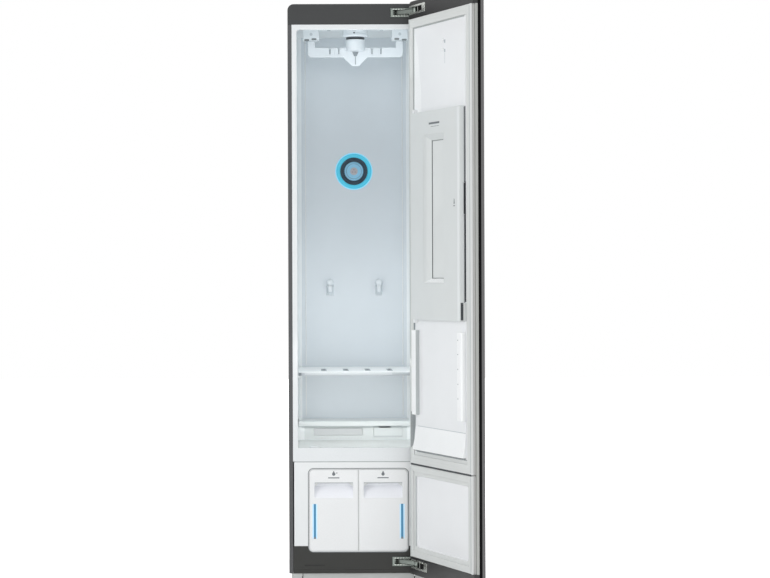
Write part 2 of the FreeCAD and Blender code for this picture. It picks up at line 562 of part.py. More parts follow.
def make_door_shell():
    glass = Piece("door_glass", "door")
    glass.box((f"-{HALF}", HALF), (f"-{DOOR_FRONT}", f"-{FRAME_FRONT}"),
              ("door_bottom", "cabinet_height"))
    glass.round("corner_round", "y", x=[f"-{HALF}", HALF], z=["cabinet_height"])
    frame = Piece("door_frame", "door")
    frame.box((f"-{HALF}", HALF), (f"-{FRAME_FRONT}", f"-{GASKET_FRONT}"),
              ("door_bottom", "cabinet_height"))
    frame.round("corner_round", "y", x=[f"-{HALF}", HALF], z=["cabinet_height"])
    hollow_half = f"{HALF} - edge_trim_width"
    between = ("door_liner_low", LINER_HIGH)
    frame.box((f"-({hollow_half})", hollow_half), (f"-{FRAME_FRONT}", f"-{GASKET_FRONT}"),
              between, cut=True)
    frame.box((f"-{HALF}", HALF), (f"-{TRIM_FRONT}", f"-{GASKET_FRONT}"), between, cut=True)
    arm_leaves = "door_pivot_across - arm_pocket_reach"
    pocket_floor = "-(door_pivot_deep + eye_radius + door_gap + bracket_plate)"
    for level in HINGE_LEVELS:
        frame.box((arm_leaves, HALF), (pocket_floor, f"-{GASKET_FRONT}"),
                  about(level, "hinge_tall / 2"), cut=True)
    trims = Piece("door_edge_trims", "door")
    for side in SIDES:
        trims.box(both(hollow_half, HALF, side), (f"-{TRIM_FRONT}", f"-{LINER_FRONT}"), between)
    foam = Piece("door_foam", "door")
    foam.box((f"-({hollow_half})", hollow_half), (f"-{FRAME_FRONT}", f"-{LINER_FRONT}"), between)


def make_door_liners():
    upper = Piece("upper_door_liner", "door")
    depth = (f"-{LINER_FRONT}", f"-{GASKET_FRONT}")
    upper.box((f"-{LINER_HALF}", LINER_HALF), depth, ("door_split", LINER_HIGH))
    upper.box((INNER_LEFT, INNER_RIGHT), (f"-{GASKET_FRONT}", "-door_gap"),
              ("inner_low", f"{LINER_HIGH} - inner_margin_top"))
    lower = Piece("lower_door_liner", "door")
    lower.box((f"-{LINER_HALF}", LINER_HALF), depth, ("door_liner_low", "door_split - split_gap"))
    sink = (f"-{LINER_HALF} + sink_free", INNER_RIGHT)
    lower.box(sink, (f"-({GASKET_FRONT} + sink_deep)", f"-{GASKET_FRONT}"),
              ("sink_low", "sink_high"), cut=True)
    lower.round("sink_round", "y", x=sink, z=["sink_low", "sink_high"])
    gaskets = Piece("door_gaskets", "door")
    outer = f"{LINER_HALF} - gasket_inset"
    for low, high, width in (("door_split", LINER_HIGH, "gasket_width"),
                             ("door_liner_low", "door_split - split_gap", "lower_gasket_width")):
        inner = f"{outer} - {width}"
        depth = (f"-{GASKET_FRONT}", "-door_gap")
        gaskets.box((f"-({outer})", outer), depth,
                    (f"{low} + gasket_inset", f"{high} - gasket_inset"))
        gaskets.box((f"-({inner})", inner), depth,
                    (f"{low} + gasket_inset + {width}", f"{high} - gasket_inset - {width}"),
                    cut=True)


def make_door_fittings():
    drip = Piece("drip_ledge", "door")
    root = "-door_gap"
    low = "cavity_floor + drip_play"
    knee = f"{low} + drip_knee_rise"
    drip.outline("yz", [(root, "drip_high"), ("drip_knee", knee), ("drip_proud", f"{low} + drip_lip"),
                        ("drip_proud", low), ("drip_proud - drip_wall", low),
                        ("drip_proud - drip_wall", f"{low} + drip_lip"), (root, knee)],
                 (INNER_LEFT, INNER_RIGHT))
    rails = Piece("trouser_rails", "door")
    for span in ((f"{INNER_RIGHT} - rail_width", INNER_RIGHT),
                 (INNER_LEFT, f"{INNER_LEFT} + rail_free_width")):
        rails.box(span, (root, f"{root} + rail_proud"), ("rail_low", "rail_high"))
        rails.round("rail_round", "z", x=span, y=[f"{root} + rail_proud"])


PRESS_RIGHT = f"({INNER_RIGHT} - press_hinge_margin)"
PRESS_LEFT = f"({INNER_LEFT} + press_free_margin)"
PRESS_REAR = "(seat_gap - door_gap)"
PRESS_FACE = f"({PRESS_REAR} + press_thick)"
PRESS_PIVOT_DEEP = f"({PRESS_REAR} + press_stile / 2)"
PRESS_PIVOT_ACROSS = f"({PRESS_RIGHT} - press_stile / 2)"


def make_press():
    press = Piece("press_panel", "press")
    height = ("press_low", "press_high")
    press.box((PRESS_LEFT, PRESS_RIGHT), (PRESS_REAR, PRESS_FACE), height)
    press.round("press_stile / 2 - seat_gap", "z", x=[PRESS_RIGHT], y=[PRESS_REAR])
    inner = ((f"{PRESS_LEFT} + press_wall + finger_deep", f"{PRESS_RIGHT} - press_stile"),
             (PRESS_REAR, f"{PRESS_FACE} - press_wall"),
             ("press_low + press_wall", "press_high - press_wall"))
    press.box(*inner, cut=True)
    window_right = f"({PRESS_RIGHT} - press_window_near)"
    window = (f"{window_right} - press_window_width", window_right)
    tall = ("press_window_low", "press_window_high")
    press.box((f"{window[0]} - press_wall", f"{window[1]} + press_wall"),
              (f"{PRESS_REAR} + press_plate + seat_gap", PRESS_FACE),
              (f"{tall[0]} - press_wall", f"{tall[1]} + press_wall"))
    press.box(window, (f"{PRESS_REAR} + press_plate", PRESS_FACE), tall, cut=True)
    press.box((PRESS_LEFT, f"{PRESS_LEFT} + finger_deep"),
              (PRESS_REAR, f"{PRESS_REAR} + finger_tall"), ("finger_low", "finger_high"), cut=True)
    for low in ("press_low", "press_high - press_pin_length - seat_gap"):
        press.rod("press_pin + press_pin_clearance", "z",
                  (PRESS_PIVOT_ACROSS, PRESS_PIVOT_DEEP, low), "press_pin_length + seat_gap",
                  cut=True)
    plate = Piece("press_plate", "press")
    (left, right), _, (low, high) = inner
    plate.box((f"{left} + seat_gap", f"{right} - seat_gap"),
              (PRESS_REAR, f"{PRESS_REAR} + press_plate"),
              (f"{low} + seat_gap", f"{high} - seat_gap"))
    brackets = Piece("press_brackets", "door")
    span = about(PRESS_PIVOT_ACROSS, "press_stile / 2")
    depth = ("-door_gap", "press_bracket_proud - door_gap")
    for low, pin_low in (("press_low - seat_gap - press_bracket_tall", "press_low - seat_gap"),
                         ("press_high + seat_gap", "press_high - press_pin_length + seat_gap")):
        brackets.box(span, depth, (low, f"{low} + press_bracket_tall"))
        brackets.rod("press_pin", "z", (PRESS_PIVOT_ACROSS, PRESS_PIVOT_DEEP, pin_low),
                     "press_pin_length")


# ---------------------------------------------------------------- in the cavity
def make_wall_fittings():
    hooks = Piece("wall_hooks")
    for side in SIDES:
        across = f"{side} * hook_across"
        arm = about(across, "hook_arm / 2")
        front = "cavity_depth - hook_reach"
        arm_low = "hook_high - hook_arm_drop"
        hooks.box(about(across, "hook_block / 2"), ("cavity_depth - hook_block_deep", "cavity_depth"),
                  ("hook_low", "hook_high"))
        hooks.box(arm, (front, "cavity_depth - hook_block_deep"),
                  (arm_low, f"{arm_low} + hook_arm"))
        hooks.box(arm, (front, f"{front} + knob_thick"), (arm_low, "knob_level"))
        hooks.rod("knob_radius", "y", (across, f"{front} - knob_thick", "knob_level"), "knob_thick")
    for label, outer, inner, proud in (
            ("light_ring", "ring_radius", "bezel_radius + ring_split", "ring_proud"),
            ("sensor_bezel", "bezel_radius", "lens_radius + ring_split", "bezel_proud"),
            ("sensor_lens", "lens_radius", None, "lens_proud")):
        ring = Piece(label)
        start = (0, f"cavity_depth - {proud}", "ring_level")
        ring.rod(outer, "y", start, proud)
        if inner:
            ring.rod(inner, "y", start, proud, cut=True)
    nozzle = Piece("steam_nozzle")
    nozzle.rod("nozzle_radius", "z", ("-nozzle_across", "nozzle_deep", "cavity_floor"),
               "nozzle_proud")
    nozzle.rod("nozzle_stem", "z", ("-nozzle_across", "nozzle_deep", LINER_FLOOR), "liner_wall")


def make_shelf():
    shelf = Piece("shelf", "shelf")
    half = f"({OPEN_HALF} - shelf_play)"
    under = "shelf_top - shelf_tall"
    shelf.box((f"-{half}", half), ("shelf_front", SHELF_REAR), (under, "shelf_top"))
    shelf.round("shelf_wall", "x", y=["shelf_front"], z=["shelf_top", under])
    shelf.box((f"-({half} - shelf_wall)", f"{half} - shelf_wall"),
              ("shelf_front + shelf_wall", f"{SHELF_REAR} - shelf_wall"),
              (under, "shelf_top - shelf_wall"), cut=True)
    for side in SIDES:
        for across in ("shelf_slot_near", "shelf_slot_far"):
            shelf.box(about(f"{side} * {across}", "shelf_slot / 2"),
                      about("shelf_slot_middle", "shelf_slot_length / 2"),
                      ("shelf_top - shelf_wall", "shelf_top"), cut=True)


def make_module():
    housing = Piece("module_housing")
    half = f"({OPEN_HALF} - module_play)"
    rear = "cavity_depth - module_play"
    lid_low = "module_top - module_lid"
    housing.box((f"-{half}", half), (MODULE_FRONT, rear), ("cavity_floor", lid_low))
    housing.box((f"-{half}", half), (f"{MODULE_FRONT} - module_lip", rear), (lid_low, "module_top"))
    housing.round("cavity_round", "z", x=[f"-{half}", half], y=[rear])
    housing.box((f"-({half} - module_wall)", f"{half} - module_wall"),
                (f"{MODULE_FRONT} + module_wall", f"{rear} - cavity_round"),
                ("cavity_floor", f"{lid_low} - drawer_play"), cut=True)
    housing.box(("-filter_left", "filter_right"), (MODULE_FRONT, f"{MODULE_FRONT} + module_wall"),
                ("filter_low", "filter_high"), cut=True)
    housing.box(("tray_left", "tray_right"), (MODULE_FRONT, f"{MODULE_FRONT} + module_wall"),
                ("tray_low", lid_low), cut=True)
    play = "drawer_play"
    lint = Piece("lint_filter", "lint_filter")
    span = (f"-filter_left + {play}", f"filter_right - {play}")
    front = f"{MODULE_FRONT} + front_inset"
    low, high = f"filter_low + {play}", f"filter_high - {play}"
    lint.box(span, (front, f"{front} + filter_length"), (low, high))
    lint.box((f"{span[0]} + tray_wall", f"{span[1]} - tray_wall"),
             (f"{front} + tray_wall", f"{front} + filter_length - tray_wall"),
             (f"{low} + tray_wall", high), cut=True)
    tray = Piece("aroma_tray", "aroma_tray")
    span = (f"tray_left + {play}", f"tray_right - {play}")
    low, high = f"tray_low + {play}", f"{lid_low} - tray_top_gap"
    tray.box(span, (MODULE_FRONT, f"{MODULE_FRONT} + tray_length"), (low, high))
    tray.box((f"{span[0]} + tray_wall", f"{span[1]} - tray_wall"),
             (f"{MODULE_FRONT} + tray_wall", f"{MODULE_FRONT} + tray_length - tray_wall"),
             (f"{low} + tray_wall", high), cut=True)
    tray.box(("grip_left", "grip_right"), (MODULE_FRONT, f"{MODULE_FRONT} + tray_wall"),
             (f"{high} - grip_deep", high), cut=True)


# ---------------------------------------------------------------- hanger and shaker
GUIDE_LOW = f"({CEILING} - guide_tall)"
HANGER_HIGH = f"({GUIDE_LOW} - hanger_drop)"
HANGER_LOW = f"({HANGER_HIGH} - hanger_tall)"
VEE_LOW = f"({HANGER_LOW} - vee_drop)"
FLANGE_LOW = f"({CEILING} - flange_tall)"
DISC_HIGH = f"({FLANGE_LOW} - disc_play)"
DISC_LOW = f"({DISC_HIGH} - disc_thick)"
COVER_HIGH = f"({DISC_LOW} - cover_play)"
COVER_LOW = f"({COVER_HIGH} - cover_tall)"


def make_hanger():
    bar = Piece("hanger_bar", "hanger")
    depth = about("hanger_deep", "hanger_thick / 2")
    cut_corner = f"{HANGER_LOW} + hanger_corner"
    bar.outline("xz", [("-hanger_half", cut_corner), ("-hanger_half", HANGER_HIGH),
                       ("hanger_half", HANGER_HIGH), ("hanger_half", cut_corner),
                       ("hanger_half - hanger_corner", HANGER_LOW), ("vee_top", HANGER_LOW),
                       ("vee_foot", VEE_LOW), ("-vee_foot", VEE_LOW), ("-vee_top", HANGER_LOW),
                       ("-(hanger_half - hanger_corner)", HANGER_LOW)], depth)
    neck_low = f"{GUIDE_LOW} - drawer_play"
    head_low = f"{GUIDE_LOW} + ledge_rise + seat_gap"
    for side in SIDES:
        middle = f"{side} * (hanger_half - hanger_arm / 2)"
        neck = about(middle, "neck_width / 2")
        bar.box(about(middle, "hanger_arm / 2"), depth, (HANGER_HIGH, neck_low))
        bar.box(neck, about("hanger_deep", "neck_thick / 2"), (neck_low, head_low))
        bar.box(neck, about("hanger_deep", "head_thick / 2"), (head_low, f"{head_low} + head_tall"))
        for across in ("notch_near", "notch_far"):
            bar.box(about(f"{side} * {across}", "notch_wide / 2"), depth,
                    (f"{HANGER_HIGH} - notch_deep", HANGER_HIGH), cut=True)
    guides = Piece("hanger_guides")
    for side in SIDES:
        middle = f"{side} * (hanger_half - hanger_arm / 2)"
        travel = about(middle, "neck_width / 2 + shake_play")
        guides.box(both("guide_inner", "guide_outer", side), about("hanger_deep", "guide_deep / 2"),
                   (GUIDE_LOW, CEILING))
        guides.box(travel, about("hanger_deep", "neck_thick / 2 + neck_play"),
                   (GUIDE_LOW, f"{GUIDE_LOW} + ledge_rise"), cut=True)
        guides.box(travel, about("hanger_deep", "head_thick / 2 + neck_play"),
                   (f"{GUIDE_LOW} + ledge_rise", f"{GUIDE_LOW} + ledge_rise + head_tall + neck_play"),
                   cut=True)
    middle = (0, "hanger_deep")
    cover = Piece("drive_cover", "hanger")
    cover.rod("cover_radius", "z", (*middle, COVER_LOW), "cover_tall")
    cover.box(("-cover_radius", "cover_radius"), depth, (COVER_LOW, HANGER_HIGH), cut=True)
    slot_half = "crank_throw + crank_pin + crank_pin_play"
    pin_low = f"{DISC_LOW} - crank_pin_reach"
    cover.box(about(0, "crank_pin + crank_pin_play"), about("hanger_deep", slot_half),
              (f"{pin_low} - crank_pin_play", COVER_HIGH), cut=True)
    crank = Piece("hanger_crank", "crank")
    crank.rod("disc_radius", "z", (*middle, DISC_LOW), "disc_thick")
    crank.rod("crank_pin", "z", (0, "hanger_deep - crank_throw", pin_low), "crank_pin_reach")
    crank.rod("shaft_radius", "z", (*middle, DISC_HIGH), f"{LINER_ROOF} + shaft_reach - {DISC_HIGH}")
    flange = Piece("drive_flange")
    flange.rod("flange_radius", "z", (*middle, FLANGE_LOW), "flange_tall")
    flange.rod("shaft_hole", "z", (*middle, FLANGE_LOW), "flange_tall", cut=True)
    motor = Piece("hanger_motor")
    motor.rod("motor_radius", "z", (*middle, LINER_ROOF), "motor_tall")
    motor.rod("shaft_radius + pin_clearance", "z", (*middle, LINER_ROOF), "shaft_reach + seat_gap",
              cut=True)


# ---------------------------------------------------------------- machinery
def make_control_board():
    board = Piece("control_board")
    face = f"{LINER_ROOF} + board_rise"
    rear = "cavity_depth - board_rear_gap"
    front = f"{rear} - board_deep"
    board.box(("-board_left", "-board_right"), (front, rear), (face, f"{face} + board_thick"))
    for across in ("-board_left + board_rise", "-board_right - board_rise"):
        for deep in (f"{front} + board_rise", f"{rear} - board_rise"):
            board.rod("board_post", "z", (across, deep, LINER_ROOF), "board_rise")
    for index in range(int(measure("chip_count"))):
        left = f"-board_left + chip_inset + {index} * chip_pitch"
        board.box((left, f"{left} + board_chip"), (f"{front} + chip_margin", f"{rear} - chip_margin"),
                  (f"{face} + board_thick", f"{face} + board_thick + board_chip"))


def make_air_path():
    duct = Piece("air_duct")
    duct.box(("-duct_half", "duct_half"), (MODULE_FRONT, "cavity_depth"), ("duct_low", LINER_FLOOR))
    duct.box(("-(duct_half - duct_wall)", "duct_half - duct_wall"),
             (f"{MODULE_FRONT} + duct_wall", "cavity_depth - duct_wall"),
             ("duct_low + duct_wall", LINER_FLOOR), cut=True)
    for left, levels in (("evaporator_left", ("suction_level", "liquid_level")),
                         ("condenser_left", ("pressure_level", "liquid_level"))):
        for level in levels:
            duct.rod("pipe_radius + pipe_play", "y",
                     (f"-{left} + coil_deep / 2", "cavity_depth - duct_wall", level), "duct_wall",
                     cut=True)
    low = "duct_low + duct_wall"
    front = f"{MODULE_FRONT} + duct_wall + coil_play"
    rear = "cavity_depth - duct_wall"
    coil = Piece("heat_pump_coils")
    for left in ("-evaporator_left", "-condenser_left"):
        span = (left, f"{left} + coil_deep")
        pitch = f"(({rear} - fin_thick - ({front})) / (fin_count - 1))"
        for index in range(int(measure("fin_count"))):
            start = f"{front} + {index} * {pitch}"
            coil.box(span, (start, f"{start} + fin_thick"), (low, "coil_top"))
        for index in range(int(measure("coil_rows"))):
            level = f"{low} + ({index} + 0.5) * (coil_top - {low}) / coil_rows"
            coil.rod("coil_tube", "y", (f"{left} + coil_deep / 2", front, level),
                     f"{rear} - ({front})")
    make_fan()


def make_fan():
    middle_deep = f"(({MODULE_FRONT} + cavity_depth) / 2)"
    housing = Piece("fan_housing")
    half = "module_deep / 2 - duct_wall - coil_play"
    low = "duct_low + duct_wall"
    housing.box(("fan_left", "fan_right"), about(middle_deep, half), (low, LINER_FLOOR))
    inside = ("fan_left + fan_wall", "fan_right - fan_wall")
    width = f"{inside[1]} - ({inside[0]})"
    room = "fan_radius + fan_tip_play"
    housing.rod(room, "x", (inside[0], middle_deep, "fan_level"), width, cut=True)
    housing.box(inside, (middle_deep, f"{middle_deep} + {room}"), ("fan_level", LINER_FLOOR),
                cut=True)
    housing.rod("fan_inlet", "x", ("fan_left", middle_deep, "fan_level"), "fan_wall", cut=True)
    wheel = Piece("circulation_fan", "fan")
    width = "fan_wheel_width"
    blade = wheel.box((0, f"{width} - fan_plate / 2"), about(0, "blade_thick / 2"),
                      ("fan_radius - blade_deep + blade_thick / 2", "fan_radius - blade_thick / 2"))
    wheel.copies(blade, "x", "blade_count")
    wheel.rod("fan_radius", "x", (f"{width} - fan_plate", 0, 0), "fan_plate")
    wheel.rod("fan_radius", "x", (0, 0, 0), "fan_plate")
    wheel.rod("fan_radius - blade_deep", "x", (0, 0, 0), "fan_plate", cut=True)
    wheel.rod("fan_hub", "x", (f"{width} / 2", 0, 0), f"{width} / 2")
    wheel.rod("fan_shaft + pin_clearance", "x", (f"{width} / 2", 0, 0), f"{width} / 2", cut=True)
    wheel.place("fan_wheel_start", middle_deep, "fan_level")
    motor = Piece("fan_motor")
    face = "fan_wheel_start + fan_wheel_width + fan_wall"
    motor.rod("fan_motor_radius", "x", (face, middle_deep, "fan_level"), f"{inside[1]} - ({face})")
    motor.rod("fan_shaft", "x", ("fan_wheel_start + fan_wheel_width / 2", middle_deep, "fan_level"),
              "fan_wheel_width / 2 + fan_wall")


def make_machines():
    compressor = Piece("compressor")
    deep = "cabinet_depth - compressor_rear"
    base = f"{PAN_TOP} + compressor_foot"
    compressor.rod("compressor_radius", "z", ("compressor_across", deep, base), "compressor_tall")
    compressor.rod("compressor_cap", "z", ("compressor_across", deep, f"{base} + compressor_tall"),
                   "compressor_cap_tall")
    for side in SIDES:
        for way in SIDES:
            compressor.rod("compressor_lug", "z",
                           (f"compressor_across + {side} * compressor_lug_across",
                            f"{deep} + {way} * compressor_lug_across", PAN_TOP),
                           "compressor_lug_tall")
    boiler = Piece("steam_generator")
    span = ("-boiler_left", "-boiler_right")
    foot = f"{PAN_TOP} + boiler_foot"
    rear = "cabinet_depth - boiler_rear_gap"
    front = f"{rear} - boiler_deep"
    boiler.box(span, (front, rear), (foot, f"{foot} + boiler_tall"))
    boiler.round("boiler_round", "z", x=span, y=[front, rear])
    for left in ("-boiler_left + boiler_round", "-boiler_right - boiler_round - boiler_foot"):
        boiler.box((left, f"{left} + boiler_foot"),
                   (f"{front} + boiler_round", f"{rear} - boiler_round"), (PAN_TOP, foot))
    pumps = Piece("water_pumps")
    for side in SIDES:
        pumps.box(about(f"{side} * valve_across", "pump_half"),
                  ("pump_front", "pump_front + pump_length"), (PAN_TOP, f"{PAN_TOP} + pump_tall"))
        pumps.round("pump_round", "z", x=about(f"{side} * valve_across", "pump_half"),
                    y=["pump_front", "pump_front + pump_length"])
    hoses = Tube("hoses")
    across = "-nozzle_across"
    boiler_middle = f"{rear} - boiler_deep / 2"
    rise = f"(bay_depth + {MODULE_FRONT}) / 2"
    hoses.run("hose_radius", "hose_bend",
              [(across, boiler_middle, f"{foot} + boiler_tall"),
               (across, boiler_middle, "hose_under"), (across, rise, "hose_under"),
               (across, rise, "hose_over"),
               (across, "nozzle_deep", "hose_over"), (across, "nozzle_deep", LINER_FLOOR)])
    for side in SIDES:
        across = f"{side} * valve_across"
        deep = "pump_front + pump_length / 2"
        hoses.run("hose_radius", "hose_bend",
                  [(across, "bay_depth + valve_length", "valve_level"), (across, deep, "valve_level"),
                   (across, deep, f"{PAN_TOP} + pump_tall")])
    pipes = Tube("refrigerant_pipes")
    condenser = "-condenser_left + coil_deep / 2"
    evaporator = "-evaporator_left + coil_deep / 2"
    coil_end = "cavity_depth - duct_wall"
    pipe_rear, liquid_rear = "cavity_depth + pipe_reach", "cavity_depth + liquid_reach"
    top = f"{base} + compressor_tall"
    for coil, level, across in ((condenser, "pressure_level", "pressure_across"),
                                (evaporator, "suction_level", "suction_across")):
        pipes.run("pipe_radius", "pipe_bend",
                  [(coil, coil_end, level), (coil, pipe_rear, level),
                   (across, pipe_rear, level), (across, pipe_rear, top)])
    pipes.run("pipe_radius", "pipe_bend",
              [(condenser, coil_end, "liquid_level"), (condenser, liquid_rear, "liquid_level"),
               (evaporator, liquid_rear, "liquid_level"), (evaporator, coil_end, "liquid_level")])


def make_mains_inlet():
    inlet = Piece("mains_inlet")
    across = about("inlet_across", "inlet_half")
    tall = about("inlet_level", "inlet_half_tall")
    inlet.box(across, ("cabinet_depth - inlet_deep", "cabinet_depth"), tall)
    inlet.box(about("inlet_across", "inlet_half + inlet_flange"),
              (f"{BACK_PLANE} - inlet_flange_thick", BACK_PLANE), tall)
    inlet.box(about("inlet_across", "inlet_half - inlet_wall"),
              ("cabinet_depth - inlet_deep + inlet_wall", "cabinet_depth"),
              about("inlet_level", "inlet_half_tall - inlet_wall"), cut=True)


make_side_panels()
make_top_cover()
make_back_cover()
make_top_front_frame()
make_front_trim()
make_inner_liner()
make_lower_front_panel()
make_base_front_cover()
make_base()
make_tank_bay()
make_tank("drain", -1)
make_tank("fill", 1)
make_hinges()
make_door_shell()
make_door_liners()
make_door_fittings()
make_press()
make_wall_fittings()
make_shelf()
make_module()
make_hanger()
make_control_board()
make_air_path()
make_machines()
make_mains_inlet()
doc.recompute()


def check_document():
    for item in doc.Objects:
        if "Invalid" in item.State or "Error" in item.State:
            raise RuntimeError(f"{item.Label} did not build: {item.State}")
    for label, piece in pieces.items():
        shape = piece.body.Shape
        if shape.isNull() or not shape.isValid() or not shape.Solids:
            raise RuntimeError(f"{label} has no valid shape")


def open_the_door():
    """Moves the door and its arms from the plan in which they were drawn to where they rest."""
    arm_pivot, closed, opened, swing, arm_angle = hinge_geometry()
    door_move = FreeCAD.Placement(opened, swing) * FreeCAD.Placement(-closed, FreeCAD.Rotation())
    arm_turn = FreeCAD.Rotation(FreeCAD.Vector(0, 0, 1), arm_angle)
    moves = {"door": door_move, "press": door_move,
             "hinge_arms": FreeCAD.Placement(arm_pivot, arm_turn)}
    for piece in pieces.values():
        if piece.carrier in moves:
            piece.body.Placement = moves[piece.carrier] * piece.body.Placement


def centre_on_footprint():
    """Puts the origin at the centre of the footprint, at floor level. Returns the shift."""
    room = FreeCAD.BoundBox()
    for piece in pieces.values():
        room.add(piece.body.Shape.BoundBox)
    shift = FreeCAD.Vector(-room.Center.x, -room.Center.y, -room.ZMin)
    for piece in pieces.values():
        piece.body.Placement = FreeCAD.Placement(shift, FreeCAD.Rotation()) * piece.body.Placement
    return shift


check_document()
open_the_door()
origin_shift = centre_on_footprint()
doc.recompute()
check_document()
os.makedirs("parts", exist_ok=True)
for label, piece in pieces.items():
    piece.body.Shape.exportStep(f"parts/{label}.step")
print(len(pieces), "sub-parts; cabinet origin at", origin_shift)
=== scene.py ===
"""Looks of the clothes care steam cabinet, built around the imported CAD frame."""

import json
import math

import bmesh
import bpy
from mathutils import Matrix, Vector


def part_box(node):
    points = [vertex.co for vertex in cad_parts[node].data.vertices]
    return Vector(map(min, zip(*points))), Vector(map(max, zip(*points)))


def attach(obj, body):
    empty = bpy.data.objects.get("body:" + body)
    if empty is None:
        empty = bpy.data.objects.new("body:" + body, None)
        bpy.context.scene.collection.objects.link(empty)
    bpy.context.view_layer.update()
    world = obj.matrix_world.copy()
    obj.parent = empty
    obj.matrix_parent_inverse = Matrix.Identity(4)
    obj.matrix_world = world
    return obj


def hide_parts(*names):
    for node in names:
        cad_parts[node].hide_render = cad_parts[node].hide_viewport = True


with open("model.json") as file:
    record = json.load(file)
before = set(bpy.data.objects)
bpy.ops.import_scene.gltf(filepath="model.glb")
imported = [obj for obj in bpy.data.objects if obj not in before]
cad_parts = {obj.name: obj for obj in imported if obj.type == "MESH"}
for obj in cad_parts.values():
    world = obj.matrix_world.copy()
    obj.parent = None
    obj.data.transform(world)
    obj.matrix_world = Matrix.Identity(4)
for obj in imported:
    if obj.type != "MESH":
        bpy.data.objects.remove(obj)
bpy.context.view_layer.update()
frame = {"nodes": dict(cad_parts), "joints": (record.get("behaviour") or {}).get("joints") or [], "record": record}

# ---------------------------------------------------------------- frame
MM = 0.001
BODY_OF = {node: body for body, nodes in frame["record"]["behaviour"]["bodies"].items()
           for node in nodes}
SLOT_OF = {item["node"]: item["material_slot"] for item in frame["record"]["subparts"]}
JOINT = {joint["name"]: joint for joint in frame["joints"]}

# The cabinet's own frame, in millimetres: centre plane, front plane and floor are 0.
TRIM_LOW, TRIM_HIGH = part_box("front_trim")
CABINET_ORIGIN = Vector(((TRIM_LOW.x + TRIM_HIGH.x) / 2, TRIM_LOW.y, 0))
CABINET = Matrix.Translation(CABINET_ORIGIN) @ Matrix.Scale(MM, 4)

# The door's frame: the same millimetres, as if the door were closed.
DOOR_TURN = math.radians(112.4)
DOOR_PIVOT_CLOSED = Vector((203, -19.5, 0))
DOOR = (Matrix.Translation(Vector(JOINT["door_swing"]["pos_m"]))
        @ Matrix.Rotation(DOOR_TURN, 4, "Z") @ Matrix.Scale(MM, 4)
        @ Matrix.Translation(-DOOR_PIVOT_CLOSED))
HOME_OF_BODY = {"door": DOOR, "press": DOOR}


# ---------------------------------------------------------------- shader nodes
WHITE = (1, 1, 1, 1)
# the range that most of a noise texture lies in
NOISE_LOW, NOISE_HIGH = 0.3, 0.7


def add_node(tree, kind, **inputs):
    """A shader node; its inputs, with _ for a space, are given as values or as linked outputs."""
    node = tree.nodes.new("ShaderNode" + kind)
    for name, value in inputs.items():
        socket = node.inputs[name.replace("_", " ")]
        if isinstance(value, bpy.types.NodeSocket):
            tree.links.new(value, socket)
        else:
            socket.default_value = value
    return node


def seen_directly(tree):
    """1 where a ray comes from the camera, a reflection or through glass, and 0 for lighting."""
    path = add_node(tree, "LightPath")
    total = path.outputs["Is Camera Ray"]
    for name in ("Is Glossy Ray", "Is Transmission Ray"):
        larger = add_node(tree, "Math")
        larger.operation = "MAXIMUM"
        tree.links.new(total, larger.inputs[0])
        tree.links.new(path.outputs[name], larger.inputs[1])
        total = larger.outputs[0]
    return total


def srgb(colour):
    """An sRGB colour of 0 to 255 as linear values."""
    linear = []
    for value in colour:
        value /= 255
        linear.append(value / 12.92 if value <= 0.04045 else ((value + 0.055) / 1.055) ** 2.4)
    return linear


def coordinates(tree, stretch=(1, 1, 1)):
    place = add_node(tree, "TexCoord")
    return add_node(tree, "Mapping", Vector=place.outputs["Object"], Scale=stretch).outputs[0]


def noise(tree, vector, scale):
    return add_node(tree, "TexNoise", Vector=vector, Scale=scale, Detail=3).outputs["Fac"]


def clouded(tree, factor, colour, tone):
    """The colour, darker and lighter by a share along the factor."""
    node = add_node(tree, "ValToRGB", Fac=factor)
    for element, place, share in zip(node.color_ramp.elements, (NOISE_LOW, NOISE_HIGH),
                                     (1 - tone, 1 + tone)):
        element.position = place
        element.color = [min(1, channel * share) for channel in srgb(colour)] + [1]
    return node.outputs["Color"]


# ---------------------------------------------------------------- camera and light
PHOTO_WIDTH, PHOTO_HEIGHT = 770, 578
CAMERA_PLACE = Vector((-178.5, -6495, 997.4))
CAMERA_PIXELS = 2026
CAMERA_ROLL = math.radians(-0.2)
PRINCIPAL_POINT = (302, 270)


def make_camera():
    data = bpy.data.cameras.new("camera")
    camera = bpy.data.objects.new("camera", data)
    bpy.context.scene.collection.objects.link(camera)
    data.sensor_width = 36
    data.lens = CAMERA_PIXELS / PHOTO_WIDTH * data.sensor_width
    data.shift_x = (PHOTO_WIDTH / 2 - PRINCIPAL_POINT[0]) / PHOTO_WIDTH
    data.shift_y = (PRINCIPAL_POINT[1] - PHOTO_HEIGHT / 2) / PHOTO_WIDTH
    data.clip_end = 100
    camera.matrix_world = (Matrix.Translation(CABINET @ CAMERA_PLACE)
                           @ Matrix.Rotation(math.radians(90), 4, "X")
                           @ Matrix.Rotation(CAMERA_ROLL, 4, "Z"))
    bpy.context.scene.camera = camera


def make_lamp(name, place, target, size, power):
    data = bpy.data.lights.new(name, "AREA")
    data.shape = "RECTANGLE"
    data.size, data.size_y = size
    data.energy = power
    lamp = bpy.data.objects.new(name, data)
    bpy.context.scene.collection.objects.link(lamp)
    lamp.location = place
    lamp.rotation_euler = (Vector(target) - Vector(place)).to_track_quat("-Z", "Y").to_euler()
    return lamp


AMBIENT_LEVEL = 0.68


